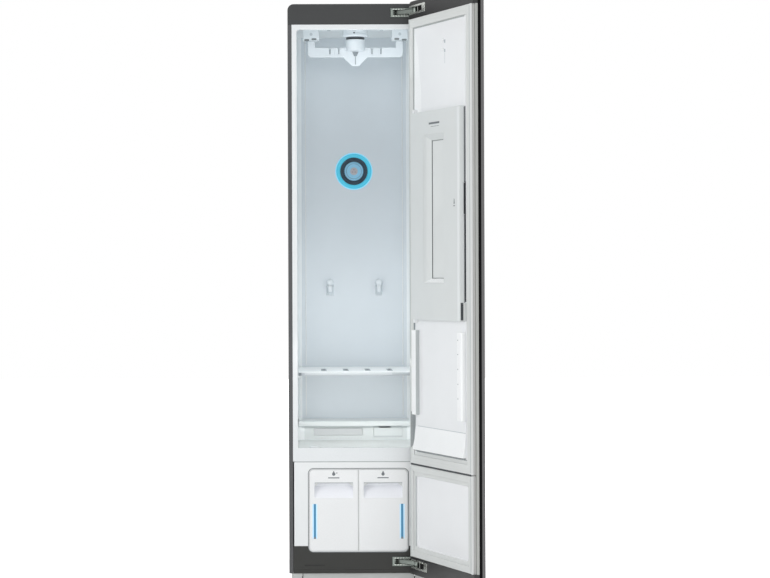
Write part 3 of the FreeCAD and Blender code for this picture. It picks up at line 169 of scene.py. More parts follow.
def make_world():
    world = bpy.data.worlds.new("studio")
    bpy.context.scene.world = world
    world.use_nodes = True
    tree = world.node_tree
    tree.nodes.clear()
    lit = add_node(tree, "Background", Color=WHITE, Strength=AMBIENT_LEVEL)
    seen = add_node(tree, "Background", Color=WHITE)
    mix = add_node(tree, "MixShader", Fac=seen_directly(tree))
    tree.links.new(lit.outputs[0], mix.inputs[1])
    tree.links.new(seen.outputs[0], mix.inputs[2])
    add_node(tree, "OutputWorld", Surface=mix.outputs[0])


# name, depth and level in mm, height in m, upward slant, power and colour of the soft lights in
# the clothes space
CAVITY_LIGHTS = (("upper_cavity_light", 24, 860, 0.36, -0.5, 0.44, (1, 0.985, 0.96)),
                 ("ceiling_light", 40, 1560, 0.12, 2.6, 0.37, (0.95, 0.985, 1)),
                 ("lower_cavity_light", 40, 622, 0.05, -0.3, 0.49, (1, 0.97, 0.93)))
CAVITY_LIGHT_WIDTH = 0.34
FLOOR_REACH, FLOOR_DROP = 12.0, 0.0002


def make_studio():
    make_world()
    make_lamp("key_light", (-3.5, -3.3, 1.9), (0, 0, 0.9), (2.4, 2.8), 60)
    make_lamp("front_light", (-0.2, -5.6, 1.3), (0, 0, 1.0), (2.4, 2.4), 26)
    make_lamp("right_light", (2.4, -4.6, 1.3), (0.1, -0.3, 1.0), (1.2, 1.6), 16)
    for name, deep, level, tall, rise, power, colour in CAVITY_LIGHTS:
        place = CABINET @ Vector((0, deep, level))
        lamp = make_lamp(name, place, place + Vector((0, 1, rise)), (CAVITY_LIGHT_WIDTH, tall),
                         power)
        lamp.data.color = colour
        lamp.visible_camera = lamp.visible_glossy = False
    make_lamp("rear_light", (1.0, 3.4, 2.8), (0, 0, 1.0), (2.0, 1.2), 30)
    mesh = bpy.data.meshes.new("floor")
    mesh.from_pydata([(x * FLOOR_REACH, y * FLOOR_REACH, 0)
                      for x, y in ((-1, -1), (1, -1), (1, 1), (-1, 1))], [], [(0, 1, 2, 3)])
    mesh.materials.append(floor_material())
    floor = bpy.data.objects.new("floor", mesh)
    bpy.context.scene.collection.objects.link(floor)
    floor.location.z = -FLOOR_DROP


FLOOR_GREY, FLOOR_GLOW = 0.86, 0.9


def floor_material():
    material = bpy.data.materials.new("floor_white")
    material.use_nodes = True
    tree = material.node_tree
    shader = tree.nodes["Principled BSDF"]
    shader.inputs["Base Color"].default_value = (FLOOR_GREY, FLOOR_GREY, FLOOR_GREY, 1)
    shader.inputs["Roughness"].default_value = 0.9
    shader.inputs["Emission Color"].default_value = WHITE
    scale = add_node(tree, "Math")
    scale.operation = "MULTIPLY"
    scale.inputs[1].default_value = FLOOR_GLOW
    tree.links.new(seen_directly(tree), scale.inputs[0])
    tree.links.new(scale.outputs[0], shader.inputs["Emission Strength"])
    return material


# ---------------------------------------------------------------- finishes
MATERIALS = {}
RELIEF_DEPTH = 0.0004
# how much the roughness varies about its value
ROUGHNESS_LOW, ROUGHNESS_HIGH = 0.85, 1.15


def finish(name, colour, roughness, metallic=0.0, coat=0.0, grain=900, bump=0.02, tone=0.03,
           stretch=(1, 1, 1), clouds=9, specular=0.5):
    """A moulded, painted or metal finish: base tone that varies a little, grain and bump."""
    material = MATERIALS[name] = bpy.data.materials.new(name + "_finish")
    material.use_nodes = True
    tree = material.node_tree
    shader = tree.nodes["Principled BSDF"]
    shader.inputs["Metallic"].default_value = metallic
    shader.inputs["Coat Weight"].default_value = coat
    shader.inputs["Specular IOR Level"].default_value = specular
    vector = coordinates(tree, stretch)
    fine = noise(tree, vector, grain)
    spread = add_node(tree, "MapRange", Value=fine, From_Min=NOISE_LOW, From_Max=NOISE_HIGH,
                      To_Min=roughness * ROUGHNESS_LOW, To_Max=min(1, roughness * ROUGHNESS_HIGH))
    relief = add_node(tree, "Bump", Height=fine, Strength=bump, Distance=RELIEF_DEPTH)
    tree.links.new(clouded(tree, noise(tree, vector, clouds), colour, tone),
                   shader.inputs["Base Color"])
    tree.links.new(spread.outputs["Result"], shader.inputs["Roughness"])
    tree.links.new(relief.outputs["Normal"], shader.inputs["Normal"])
    return material


def glowing(name, colour, strength):
    """A light guide, and painted glow on parts that are no lamps: its colour deepens a little in
    places and it gives off its own light.
    """
    tree = finish(name, colour, 0.35, grain=300, tone=0.05).node_tree
    shader = tree.nodes["Principled BSDF"]
    tree.links.new(clouded(tree, noise(tree, coordinates(tree), 40), colour, 0.08),
                   shader.inputs["Emission Color"])
    shader.inputs["Emission Strength"].default_value = strength


def smooth_white(name, colour, roughness=0.34, coat=0.0, tone=0.012):
    """A smooth white moulding."""
    finish(name, colour, roughness, coat=coat, grain=700, tone=tone)


BRUSHED_UP = (60, 60, 0.6)
BRUSHED_ACROSS = (0.6, 60, 60)

# case and base
finish("case_graphite", (52, 53, 55), 0.5, grain=1600, bump=0.06)
# a lighter copy of the case grey for the side panels' front faces: painted highlight
finish("case_flange", (72, 73, 75), 0.5, grain=1600, bump=0.06)
finish("top_graphite", (42, 44, 45), 0.5, grain=1600, bump=0.06)
finish("base_graphite", (31, 32, 29), 0.6, grain=2200, bump=0.12)
finish("galvanised", (168, 171, 174), 0.42, metallic=0.85, clouds=30, tone=0.12, grain=220,
       bump=0.03)
finish("kick_grey", (186, 189, 187), 0.5, grain=1800, bump=0.08)
finish("foot_black", (34, 34, 34), 0.8, grain=1400, bump=0.15)
# a near black put behind the slot in the base front: painted shade
finish("slot_fill", (20, 20, 19), 0.6, grain=1500)
smooth_white("trim_white", (225, 229, 231), 0.28, 0.2, 0.01)
smooth_white("panel_white", (230, 233, 234), 0.3, 0.2, 0.01)
smooth_white("tank_white", (234, 236, 237), 0.28, 0.2, 0.01)
# a lighter copy of the tanks' white for the faces in the finger scoops: painted highlight
smooth_white("scoop_painted_highlight", (244, 246, 251), 0.28, 0.2, 0.008)

# clothes space
smooth_white("liner_white", (236, 241, 243), 0.36, 0.1)
# a darker, bluer copy of the liner's white for the back wall: painted shade
smooth_white("back_wall_painted_shade", (211, 219, 225), 0.36, 0.1)
# the shelf's white made greyer for its lip, underside and ribs: painted shade
smooth_white("shelf_white", (191, 198, 202), 0.3, 0.15)
# a lighter white for the tops of the shelf and the module and for the ceiling: painted highlight
smooth_white("shelf_top", (241, 245, 246))
smooth_white("module_white", (219, 225, 226), 0.34, 0.1)
smooth_white("hanger_white", (201, 208, 213), 0.32, 0.15)
smooth_white("guide_white", (206, 213, 217), 0.4)
smooth_white("drive_white", (207, 214, 219), 0.3, 0.2)
smooth_white("hook_white", (214, 221, 226))
finish("filter_grey", (215, 219, 221), 0.5)
finish("mesh_grey", (215, 219, 221), 0.5, tone=0.04)
# painted shade: grey that fills the shelf's slots; the clip and plug greys below also serve as painted shade
finish("slot_painted_shade", (150, 157, 162), 0.5)
finish("clip_grey_and_painted_shade", (128, 136, 141), 0.5, tone=0.04)
finish("plug_grey_and_painted_shade", (176, 184, 189), 0.45)
finish("ring_dark", (30, 56, 72), 0.5)
finish("lens_line", (104, 152, 178), 0.4, grain=500)
finish("sensor_mark", (142, 136, 146), 0.35, grain=500)
finish("sensor_pink", (178, 174, 180), 0.3, coat=0.3, grain=500)
glowing("ring_light", (58, 172, 200), 0.46)
glowing("ring_halo", (140, 212, 240), 0.42)
# painted glow: the sensor lens and the tank level windows are no lamps, yet give off light
glowing("lens_blue", (120, 176, 204), 0.25)
glowing("level_glow", (186, 224, 248), 0.25)
glowing("level_blue", (60, 122, 158), 0.3)

# hinges and door
finish("hinge_steel", (124, 131, 126), 0.33, metallic=0.9, stretch=BRUSHED_ACROSS, grain=30,
       tone=0.08, bump=0.05)
finish("hinge_shell", (100, 108, 104), 0.4, metallic=0.7, stretch=BRUSHED_ACROSS, grain=26,
       tone=0.16, bump=0.1)
finish("hinge_bright", (208, 211, 206), 0.25, metallic=0.95, grain=300, tone=0.06)
finish("door_glass", (16, 17, 18), 0.06, coat=0.6, grain=500, bump=0, tone=0.05)
finish("door_black", (26, 26, 27), 0.45, grain=1500, bump=0.06)
# a near black for grooves and recesses in deep shade: painted shade
finish("groove_painted_shade_black", (4, 4, 5), 0.7, grain=1500, bump=0.04, specular=0.1)
finish("glass_edge", (98, 97, 98), 0.4, grain=300, tone=0.05, stretch=BRUSHED_UP)
finish("edge_metal", (166, 168, 165), 0.4, metallic=0.35, stretch=BRUSHED_UP, grain=30, tone=0.06,
       bump=0.04)
finish("edge_cover", (190, 190, 189), 0.4, grain=60, stretch=BRUSHED_UP)
finish("edge_groove", (136, 136, 134), 0.5, grain=60, stretch=BRUSHED_UP)
finish("foam", (228, 216, 190), 0.9, grain=420, bump=0.4, tone=0.08)
finish("door_white", (234, 236, 238), 0.34, coat=0.1, grain=800, tone=0.012)
finish("press_white", (213, 217, 217), 0.34, coat=0.1, grain=800, tone=0.012)
finish("press_plate", (196, 201, 202), 0.42, metallic=0.3, grain=500, tone=0.02)
finish("press_pad", (214, 218, 218), 0.7, grain=2600, bump=0.25, tone=0.02)
# painted shade in recesses and pockets
finish("pocket_painted_shade", (134, 140, 142), 0.5, tone=0.04)
finish("print_grey", (104, 110, 114), 0.5, grain=1500, tone=0.04)
smooth_white("rim_white", (214, 216, 216))
smooth_white("rail_white", (243, 245, 246), 0.3, 0.15, 0.01)
# a lighter white for the press's free front edge: painted highlight
smooth_white("press_edge", (222, 226, 227))

# the seals' grey, and greys painted as shade in seams, grooves, gaps and slots
finish("gasket_grey", (212, 215, 214), 0.6, bump=0.08, tone=0.02)
# painted shade: soft grey lines, darker grey in grooves, grey along the press window's edges
finish("soft_painted_shade", (180, 186, 187), 0.6, bump=0.05)
finish("groove_painted_shade", (166, 172, 172), 0.6, bump=0.06)
finish("seal_line", (150, 155, 156), 0.6, bump=0.06)
# painted shade in gaps and slots, and the small dark dot on the drive flange
finish("gap_painted_shade", (112, 118, 120), 0.6, grain=1000, bump=0.05)
finish("slot_dark", (58, 62, 66), 0.6, grain=1000, bump=0.05)

# machinery
finish("drive_dark", (72, 76, 80), 0.5, grain=1200, bump=0.06)
finish("motor_steel", (140, 143, 146), 0.38, metallic=0.8, grain=300, tone=0.06)
finish("board_green", (32, 92, 58), 0.45, grain=500, tone=0.1)
finish("duct_grey", (150, 152, 154), 0.6, bump=0.08)
finish("coil_fins", (205, 208, 210), 0.35, metallic=0.9, grain=400, tone=0.05)
finish("compressor_black", (26, 26, 27), 0.35, coat=0.3, grain=400)
finish("hose_clear", (206, 206, 200), 0.4, grain=600)
finish("copper", (196, 124, 92), 0.3, metallic=1.0, clouds=40, tone=0.12, grain=300)


# ---------------------------------------------------------------- mesh building
AXIS_GAP = 0.01  # radius of a turned solid at its axis
WELD_DISTANCE, FLAT_ANGLE, SOFT_ANGLE = 1e-6, math.radians(1), math.radians(32)
NODE_SEGMENTS, PIECE_SEGMENTS = 3, 2


def new_piece(name, mesh, material, node, replaces=None):
    """A mesh as a piece of the scene, on the body of a CAD node."""
    piece = bpy.data.objects.new(name, mesh)
    bpy.context.scene.collection.objects.link(piece)
    mesh.materials.clear()
    mesh.materials.append(MATERIALS[material])
    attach(piece, BODY_OF[node])
    if replaces:
        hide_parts(replaces)
    return piece


def home_of(node):
    """The frame in which the pieces on a node's body are drawn."""
    return HOME_OF_BODY.get(BODY_OF[node], CABINET)


def soften(piece, width, segments):
    """Rounds the sharp edges of a piece a little, as moulding, paint and folding do."""
    mesh = piece.data
    for polygon in mesh.polygons:
        polygon.use_smooth = True
    mesh.set_sharp_from_angle(angle=SOFT_ANGLE)
    modifier = piece.modifiers.new("edge_round", "BEVEL")
    modifier.width = width * MM
    modifier.segments = segments
    modifier.limit_method = "ANGLE"
    modifier.angle_limit = SOFT_ANGLE
    modifier.harden_normals = True


def rounded_node(node, width, material=None, cutter=None):
    """Stands for a CAD node with a mesh of the same shape, perhaps carved, with rounded edges."""
    source = bmesh.new()
    source.from_mesh(frame["nodes"][node].data)
    bmesh.ops.remove_doubles(source, verts=source.verts, dist=WELD_DISTANCE)
    bmesh.ops.dissolve_limit(source, angle_limit=FLAT_ANGLE, verts=source.verts,
                             edges=source.edges)
    mesh = bpy.data.meshes.new(node + "_surface")
    source.to_mesh(mesh)
    source.free()
    if cutter:
        mesh = carved(mesh, cutter.to_mesh("cutter", home_of(node)))
    for name in ("custom_normal", "sharp_face", "sharp_edge"):
        if name in mesh.attributes:
            mesh.attributes.remove(mesh.attributes[name])
    piece = new_piece(node + "_finished", mesh, material or SLOT_OF[node], node, node)
    soften(piece, width, NODE_SEGMENTS)
    return piece


def carved(mesh, tool):
    """The mesh with the tool cut out of it."""
    whole = bpy.data.objects.new("whole", mesh)
    knife = bpy.data.objects.new("knife", tool)
    for item in (whole, knife):
        bpy.context.scene.collection.objects.link(item)
    modifier = whole.modifiers.new("carving", "BOOLEAN")
    modifier.solver = "EXACT"
    modifier.object = knife
    graph = bpy.context.evaluated_depsgraph_get()
    result = bpy.data.meshes.new_from_object(whole.evaluated_get(graph))
    for item in (whole, knife):
        bpy.data.objects.remove(item)
    return result


def repaint(node, width, paint, chosen, material=None):
    """A rounded node; its faces for which chosen(face centre, normal) holds get another paint."""
    piece = rounded_node(node, width, material)
    repaint_faces(piece, paint, chosen, home_of(node))
    return piece


def repaint_faces(piece, paint, chosen, home):
    mesh = piece.data
    mesh.materials.append(MATERIALS[paint])
    to_home = home.inverted()
    turn_home = to_home.to_3x3().normalized()
    for polygon in mesh.polygons:
        if chosen(to_home @ polygon.center, turn_home @ polygon.normal):
            polygon.material_index = len(mesh.materials) - 1


class Solids:
    """Collects simple solids in millimetres. Spans may be given either way round."""

    def __init__(self):
        self.mesh = bmesh.new()

    def loft(self, rings, closed=False):
        """Joins rings of as many points each; an open row of rings is capped at both ends."""
        rows = [[self.mesh.verts.new(point) for point in ring] for ring in rings]
        pairs = list(zip(rows, rows[1:])) + ([(rows[-1], rows[0])] if closed else [])
        for row, following in pairs:
            for index in range(len(row)):
                after = (index + 1) % len(row)
                self.mesh.faces.new((row[index], row[after], following[after], following[index]))
        if not closed:
            self.mesh.faces.new(rows[0])
            self.mesh.faces.new(list(reversed(rows[-1])))

    def prism(self, outline, plane, low, high):
        """An outline in a plane, such as xz, extruded along the axis that is left out."""
        axes = plane + next(name for name in "xyz" if name not in plane)
        rings = []
        for depth in (low, high):
            places = [dict(zip(axes, (*point, depth))) for point in outline]
            rings.append([(place["x"], place["y"], place["z"]) for place in places])
        self.loft(rings)

    def box(self, x, y, z):
        self.prism([(x[0], z[0]), (x[1], z[0]), (x[1], z[1]), (x[0], z[1])], "xz", *y)

    def lathe(self, profile, middle, axis="z", sides=64):
        """A closed profile of radius and height turned about an axis through middle."""
        along = "xyz".index(axis)
        first, second = [index for index in range(3) if index != along]
        rings = []
        for radius, height in profile:
            rings.append([])
            for index in range(sides):
                turn = 2 * math.pi * index / sides
                place = list(middle)
                place[along] += height
                place[first] += radius * math.cos(turn)
                place[second] += radius * math.sin(turn)
                rings[-1].append(place)
        self.loft(rings, closed=True)

    def stud(self, profile, middle, axis="z", sides=20):
        """A turned solid whose two ends are flat."""
        self.lathe([(AXIS_GAP, profile[0][1]), *profile, (AXIS_GAP, profile[-1][1])], middle,
                   axis, sides)

    def to_mesh(self, name, home):
        bmesh.ops.recalc_face_normals(self.mesh, faces=self.mesh.faces)
        mesh = bpy.data.meshes.new(name)
        self.mesh.to_mesh(mesh)
        self.mesh.free()
        mesh.transform(home)
        return mesh


class Piece(Solids):
    """Solids shown as one piece, on the body of a CAD node."""

    waiting = []

    def __init__(self, name, node, material, width=0.0, replaces=None, home=None):
        super().__init__()
        self.name, self.node, self.material, self.width = name, node, material, width
        self.replaces = replaces
        self.home = home_of(node) if home is None else home
        Piece.waiting.append(self)

    def make(self):
        mesh = self.to_mesh(self.name, self.home)
        piece = new_piece(self.name, mesh, self.material, self.node, self.replaces)
        if self.width:
            soften(piece, self.width, PIECE_SEGMENTS)


# ---------------------------------------------------------------- shapes that help
def rectangle(x, z, y):
    return [(x[0], y, z[0]), (x[1], y, z[0]), (x[1], y, z[1]), (x[0], y, z[1])]


def oval(middle, half_long, half_short, steps=24):
    """Corner points of an oval slot that lies along the first axis."""
    straight = half_long - half_short
    points = []
    for index in range(steps):
        turn = 2 * math.pi * (index + 0.5) / steps
        side = straight if math.cos(turn) > 0 else -straight
        points.append((middle[0] + side + half_short * math.cos(turn),
                       middle[1] + half_short * math.sin(turn)))
    return points


def drop_outline(middle, level, radius, steps=14):
    """A water drop: a round foot and a pointed top."""
    turns = [math.radians(-225 + 270 * index / steps) for index in range(steps + 1)]
    points = [(middle + radius * math.cos(turn), level + radius * math.sin(turn))
              for turn in turns]
    return list(reversed(points + [(middle, level + radius * 2.1)]))


def rounded_outline(half, low, high, radius, y, steps=6):
    """Corner points of an upright rectangle with rounded corners."""
    points = []
    for x, z, start in ((half, low, -90), (half, high, 0), (-half, high, 90), (-half, low, 180)):
        middle = (x - math.copysign(radius, x), z + (radius if z == low else -radius))
        for index in range(steps + 1):
            turn = math.radians(start + 90 * index / steps)
            points.append((middle[0] + radius * math.cos(turn), y,
                           middle[1] + radius * math.sin(turn)))
    return points


# ---------------------------------------------------------------- in the clothes space
BACK_WALL = 430
RING_MIDDLE = (0, BACK_WALL, 1334)


def make_light_ring():
    ring = Piece("light_ring_guide", "light_ring", "ring_light", replaces="light_ring")
    ring.lathe([(60, 0), (60, -2.4), (58.8, -3.6), (56.5, -4), (51, -4), (48.5, -3.7),
                (46.9, -2.8), (46.9, 0)], RING_MIDDLE, "y")
    halo = Piece("light_ring_halo", "light_ring", "ring_halo")
    halo.lathe([(63.4, 0), (63.2, -0.5), (60.2, -1.6), (60.1, 0)], RING_MIDDLE, "y")
    bezel = Piece("sensor_bezel_ring", "sensor_bezel", "ring_dark", replaces="sensor_bezel")
    bezel.lathe([(46.4, 0), (46.4, -5), (45.2, -6), (41.5, -6), (40.8, -5.4), (39.6, -5.4),
                 (38.9, -6), (36, -5.6), (33.3, -4.2), (33.3, 0)], RING_MIDDLE, "y")
    lens = Piece("sensor_lens_disc", "sensor_lens", "lens_blue", replaces="sensor_lens")
    lens.stud([(18.5, -2.2), (19.5, -2.9), (25, -3), (31, -2.5), (32.9, -1.6), (32.9, 0)],
              RING_MIDDLE, "y", 64)
    lines = Piece("sensor_lens_lines", "sensor_lens", "lens_line")
    lines.lathe([(24.6, -2.6), (24.6, -3.35), (26.6, -3.3), (26.6, -2.6)], RING_MIDDLE, "y")
    lines.lathe([(31.6, -1.8), (31.6, -2.9), (33, -2.4), (33, -1.8)], RING_MIDDLE, "y")
    eye = Piece("sensor_eye", "sensor_lens", "sensor_pink")
    eye.stud([(3.6, -3.3), (4.4, -2.7), (9, -3), (12.2, -2.7), (13, -2.2), (13, -1.8)],
             RING_MIDDLE, "y", 64)
    marks = Piece("sensor_eye_marks", "sensor_lens", "sensor_mark")
    for turn in (90, 210, 330):
        place = (RING_MIDDLE[0] + 5 * math.cos(math.radians(turn)), BACK_WALL - 2.2,
                 RING_MIDDLE[2] + 5 * math.sin(math.radians(turn)))
        marks.stud([(1.6, -1.6), (2.2, -1), (2.2, 0)], place, "y")


def make_cavity_mouldings():
    # raised beads in the trim's lighter white along the back corners: painted highlight on the corners
    beads = Piece("back_wall_highlight_beads", "inner_liner", "trim_white")
    plugs = Piece("ceiling_plugs", "inner_liner", "plug_grey_and_painted_shade")
    # slim clips that hold the front trim, along the side walls
    clips = Piece("trim_clips", "inner_liner", "liner_white", 0.35)
    bead = ((163.5, 0), (164.6, 1.3), (166.4, 1.3), (167.5, 0))
    for side in (-1, 1):
        for low, high in ((500, 655), (672, 1786)):
            beads.prism([(side * x, BACK_WALL - proud) for x, proud in bead], "xy", low, high)
        plugs.stud([(5, -1.6), (6, 0)], (side * 87, 207, 1790), sides=24)
        for level in (760, 1040, 1320, 1600):
            clips.box((side * 193.5, side * 192.7), (14, 30), (level - 9, level + 9))


# distance from the wall, half width, foot and top of the arm of a wall hook
HOOK_ARM = ((0, 12.5, 909, 945), (1.5, 11.6, 911, 944), (5, 8.5, 915, 940), (13, 6, 921, 935),
            (21, 6, 921, 936), (27, 6, 922, 956))


def make_wall_hooks():
    hooks = Piece("wall_hooks_moulded", "wall_hooks", "hook_white", 0.8, replaces="wall_hooks")
    for middle in (-83, 83):
        hooks.lathe([(AXIS_GAP, -33), (7.5, -33), (10, -32), (11, -29.8), (11, -28.5),
                     (10, -27.3), (AXIS_GAP, -27)], (middle, BACK_WALL, 955), "y", 32)
        hooks.loft([rectangle((middle - half, middle + half), (low, high), BACK_WALL - away)
                    for away, half, low, high in HOOK_ARM])


SHELF_SLOTS = (-108, -36, 36, 108)
SLOT_MIDDLE, SLOT_HALF_LONG, SLOT_HALF_WIDE = 177, 50, 6.5
SHELF_FOOT = 658


def slot_ring(x, grow, level):
    """A ring around a shelf slot, grown by some millimetres, mostly along the slot."""
    return [(across_slot, y, level) for y, across_slot in
            oval((SLOT_MIDDLE, x), SLOT_HALF_LONG + grow, SLOT_HALF_WIDE + min(grow, 2.6))]


def make_shelf_details():
    clip = Piece("shelf_end_clip", "shelf", "clip_grey_and_painted_shade", 0.5)
    clip.box((-190.6, -181.5), (16.6, 18.4), (SHELF_FOOT, 667))
    # grey strips on the shelf lip, beside the end clip and along the right end: painted shade, the right one where
    # the open door shades the lip
    grip = Piece("shelf_lip_shade_strips", "shelf", "plug_grey_and_painted_shade", 0.5)
    for x in ((110, 190.6), (-181, -171)):
        grip.box(x, (17.2, 18.4), (658.8, 666.2))
    ribs = Piece("shelf_under_ribs", "shelf", "shelf_white", 0.3)
    for x in (-150, -72, 0, 72, 150):
        ribs.box((x - 1, x + 1), (21.5, 401.5), (SHELF_FOOT, 664.8))
    for y in (80, 320):
        ribs.box((-187.5, 187.5), (y - 1, y + 1), (SHELF_FOOT, 664.8))
    # the slots are filled with grey, with darker bars in them and a faint grey dish around each: painted shade of
    # the openings
    filled_slot_shade = Piece("shelf_slot_shade_inserts", "shelf", "slot_painted_shade")
    grooves = Piece("shelf_slot_shade_bars", "shelf", "pocket_painted_shade")
    dish_shade = Piece("shelf_slot_shade_dishes", "shelf", "plug_grey_and_painted_shade")
    for x in SHELF_SLOTS:
        filled_slot_shade.loft([slot_ring(x, 0, level) for level in (664, 667)])
        filled_slot_shade.loft([slot_ring(x, grow, level) for grow, level in
                      ((-1.2, 667), (0.6, 668), (1.8, 668.2), (0.6, 668.7), (-0.6, 668.2))],
                     closed=True)
        for y in range(136, 226, 9):
            grooves.box((x - 4, x + 4), (y, y + 4), (666.9, 667.3))
        dish_shade.loft([slot_ring(x, grow, level) for grow, level in
                     ((1.9, 668), (1.9, 668.25), (3.2, 668.3), (26, 668.12), (26, 668))],
                    closed=True)


def make_module_details():
    ends = Piece("module_end_mouldings", "inner_liner", "liner_white")
    for side in (-1, 1):
        ends.prism([(side * x, y) for x, y in ((193.4, 299.6), (172, 299.6), (173, 298.6),
                                               (180, 296.5), (187, 292), (193.4, 286))],
                   "xy", 427.4, 474.8)
    mesh = Piece("lint_filter_mesh", "lint_filter", "mesh_grey")
    for index in range(33):
        left = -139.5 + index * 5
        mesh.box((left, left + 1.6), (302.1, 303.1), (443.6, 465.6))
    for level in (450.5, 458):
        mesh.box((-140.3, 22.3), (301.8, 302.6), (level, level + 1.2))
    # grey lines along the top and bottom of the drawer front: painted shade in the gaps
    lines = Piece("drawer_gap_shade_lines", "aroma_tray", "plug_grey_and_painted_shade", 0.2)
    lines.box((62, 155), (299.3, 300.2), (438.5, 439.8))
    lines.box((62, 155), (299.4, 300.2), (471.8, 473.2))
    lip = Piece("drawer_grip_lip", "aroma_tray", "module_white", 0.2)
    lip.prism([(300.2, 464.6), (301.8, 464.6), (301.8, 467), (300.6, 467.8), (300.2, 467.4)],
              "yz", 78, 117)
    vents = Piece("module_vents", "inner_liner", "filter_grey", 0.2)
    for left in range(-136, 24, 10):
        vents.box((left, left + 5.5), (299.6, 300.4), (431, 434))
    cap = Piece("steam_nozzle_cap", "front_trim", "trim_white", replaces="steam_nozzle")
    cap.lathe([(AXIS_GAP, 5), (7, 4.9), (12, 4.1), (15, 2.4), (16, 0.4), (16, 0), (AXIS_GAP, 0)],
              (-140, 34, 427))


# ---------------------------------------------------------------- hanger
def make_hanger_details():
    ribs = Piece("hanger_ribs", "hanger_bar", "hanger_white", 0.5)
    for side in (-1, 1):
        for index in range(4):
            middle = side * (49.5 + index * 8.5)
            ribs.box((middle - 1.4, middle + 1.4), (182.9, 184.2), (1701.5, 1727))
    notches = Piece("hanger_notch_marks", "hanger_bar", "clip_grey_and_painted_shade", 0.3)
    for middle in (-84, -55, 55, 84):
        notches.box((middle - 2.2, middle + 2.2), (183.4, 184.3), (1708, 1724.6))
    # a grey slot and a grey wedge in the V at the middle of the bar: painted shade in the recess
    v_recess_shade = Piece("hanger_recess_shade", "hanger_bar", "clip_grey_and_painted_shade", 0.4)
    v_recess_shade.box((-1.2, 1.2), (183.3, 184.2), (1674, 1701))
    v_recess_shade.prism([(-4.5, 1701.5), (4.5, 1701.5), (10.5, 1716), (-10.5, 1716)], "xz", 182.8, 184.2)


def make_drive_and_guides():
    # the slots in the guides are dark ovals on the surface: painted shade
    slots = Piece("guide_slot_shades", "hanger_guides", "gap_painted_shade")
    plugs = Piece("guide_screw_plugs", "hanger_guides", "plug_grey_and_painted_shade")
    for side in (-1, 1):
        for x, level in ((160.5, 1754), (136.3, 1756.5)):
            slots.prism(oval((side * x, level), 8.2, 3.3), "xz", 171.5, 172.2)
        plugs.stud([(4.5, -0.6), (5.2, 0)], (side * 146, 172.2, 1773), "y", 24)
    dot = Piece("flange_dot", "drive_flange", "slot_dark")
    dot.stud([(2.2, -0.8), (2.6, 0.4)], (-5, 147.6, 1775), "y")
    flange = Piece("drive_flange_turned", "drive_flange", "drive_white", replaces="drive_flange")
    flange.lathe([(8.5, 1763.5), (39, 1763.5), (41.5, 1764.4), (43, 1767), (43, 1771),
                  (41.5, 1773), (40.5, 1776), (40.5, 1790), (8.5, 1790)], (0, 190, 0))


# ---------------------------------------------------------------- lower front
def make_tank_details():
    for tank, side in (("drain_tank", -1), ("fill_tank", 1)):
        strip, middle = 140 * side, 79 * side
        glow = Piece(f"{tank}_level_glow", tank, "level_glow", 0.2)
        for edge in (-1, 1):
            glow.box((strip + edge * 3.9, strip + edge * 7.6), (-0.25, 0.4), (136, 246.5))
        foot = Piece(f"{tank}_level_foot", tank.replace("tank", "level_window"), "clip_grey_and_painted_shade", 0.2)
        foot.box((strip - 3.7, strip + 3.7), (-0.2, 0.6), (135.2, 141))
        sign = Piece(f"{tank}_sign", tank, "print_grey")
        sign.prism(drop_outline(middle, 342.5, 5.2), "xz", -0.15, 0.3)
        sign.box((middle - 18, middle + 18), (-0.15, 0.3), (329, 332.2))
        if side < 0:
            sign.box((middle + 7, middle + 12), (-0.15, 0.3), (345, 347.4))
        # the faces in each finger scoop are painted lighter: painted highlight
        repaint(tank, 1.0, "scoop_painted_highlight", in_scoop)
        # a grey line under the scoop's upper edge and grey corners at its ends: painted shade
        scoop_shade = Piece(f"{tank}_grip_shade_line", tank, "soft_painted_shade", 0.4)
        scoop_shade.box((17.5 * side, 140.5 * side), (0.5, 2.2), (313.4, 315.9))
        # the gasket grey here is painted shade in the scoop's top corners
        corners = Piece(f"{tank}_grip_corner_shades", tank, "gasket_grey", 0.3)
        for near, far in ((18, 31), (140, 127)):
            corners.prism([(near * side, 313.2), (far * side, 313.2), (near * side, 303)], "xz",
                          0.9, 2)


def in_scoop(place, normal):
    """Whether a face of a tank lies in the hollow that the fingers pull on."""
    return (1 < place.y < 26 and 264 < place.z < 315 and 16 < abs(place.x) < 142
            and normal.y < 0.5)


BAY_HALF, BAY_LOW, BAY_HIGH, BAY_RADIUS = 159.9, 93.2, 360, 15.4


def make_lower_front_lines():
    # a dark ring in the gap around the tank bay: painted shade
    line = Piece("tank_bay_gap_shade", "tank_bay", "gap_painted_shade")
    line.loft([rounded_outline(BAY_HALF + grow, BAY_LOW - grow, BAY_HIGH + grow,
                               BAY_RADIUS + grow, y)
               for grow, y in ((0, 0.4), (0, -0.25), (1.9, -0.25), (1.9, 0.4))], closed=True)
    # a grey line in the seam between the lower front panel and the trim: painted shade
    seal = Piece("lower_front_seam_shade", "lower_front_panel", "groove_painted_shade")
    seal.box((-204, 204), (1.4, 3.4), (381, 383))
    rib = Piece("tank_bay_rib", "tank_bay", "gasket_grey")
    rib.box((-1.45, 1.45), (2.2, 4.2), (95, 358))
    rib.box((-0.9, 0.9), (4.1, 20.2), (95, 358))
    ledge = Piece("base_ledge", "base_front_cover", "base_graphite", 0.4)
    ledge.box((-209, 209), (-0.6, 0.5), (33.6, 36.2))
    # a near-black sheet behind the slot: painted shade
    base_shade = Piece("base_slot_shade", "base_front_cover", "slot_fill")
    base_shade.box((-172, -108), (1.2, 4), (48.4, 53.6))


# ---------------------------------------------------------------- hinges
HINGE_LEVELS = (1821.5, 62)
HINGE_BOX = (108, 179)
ARM_PIVOT = (119.5, 19.9)


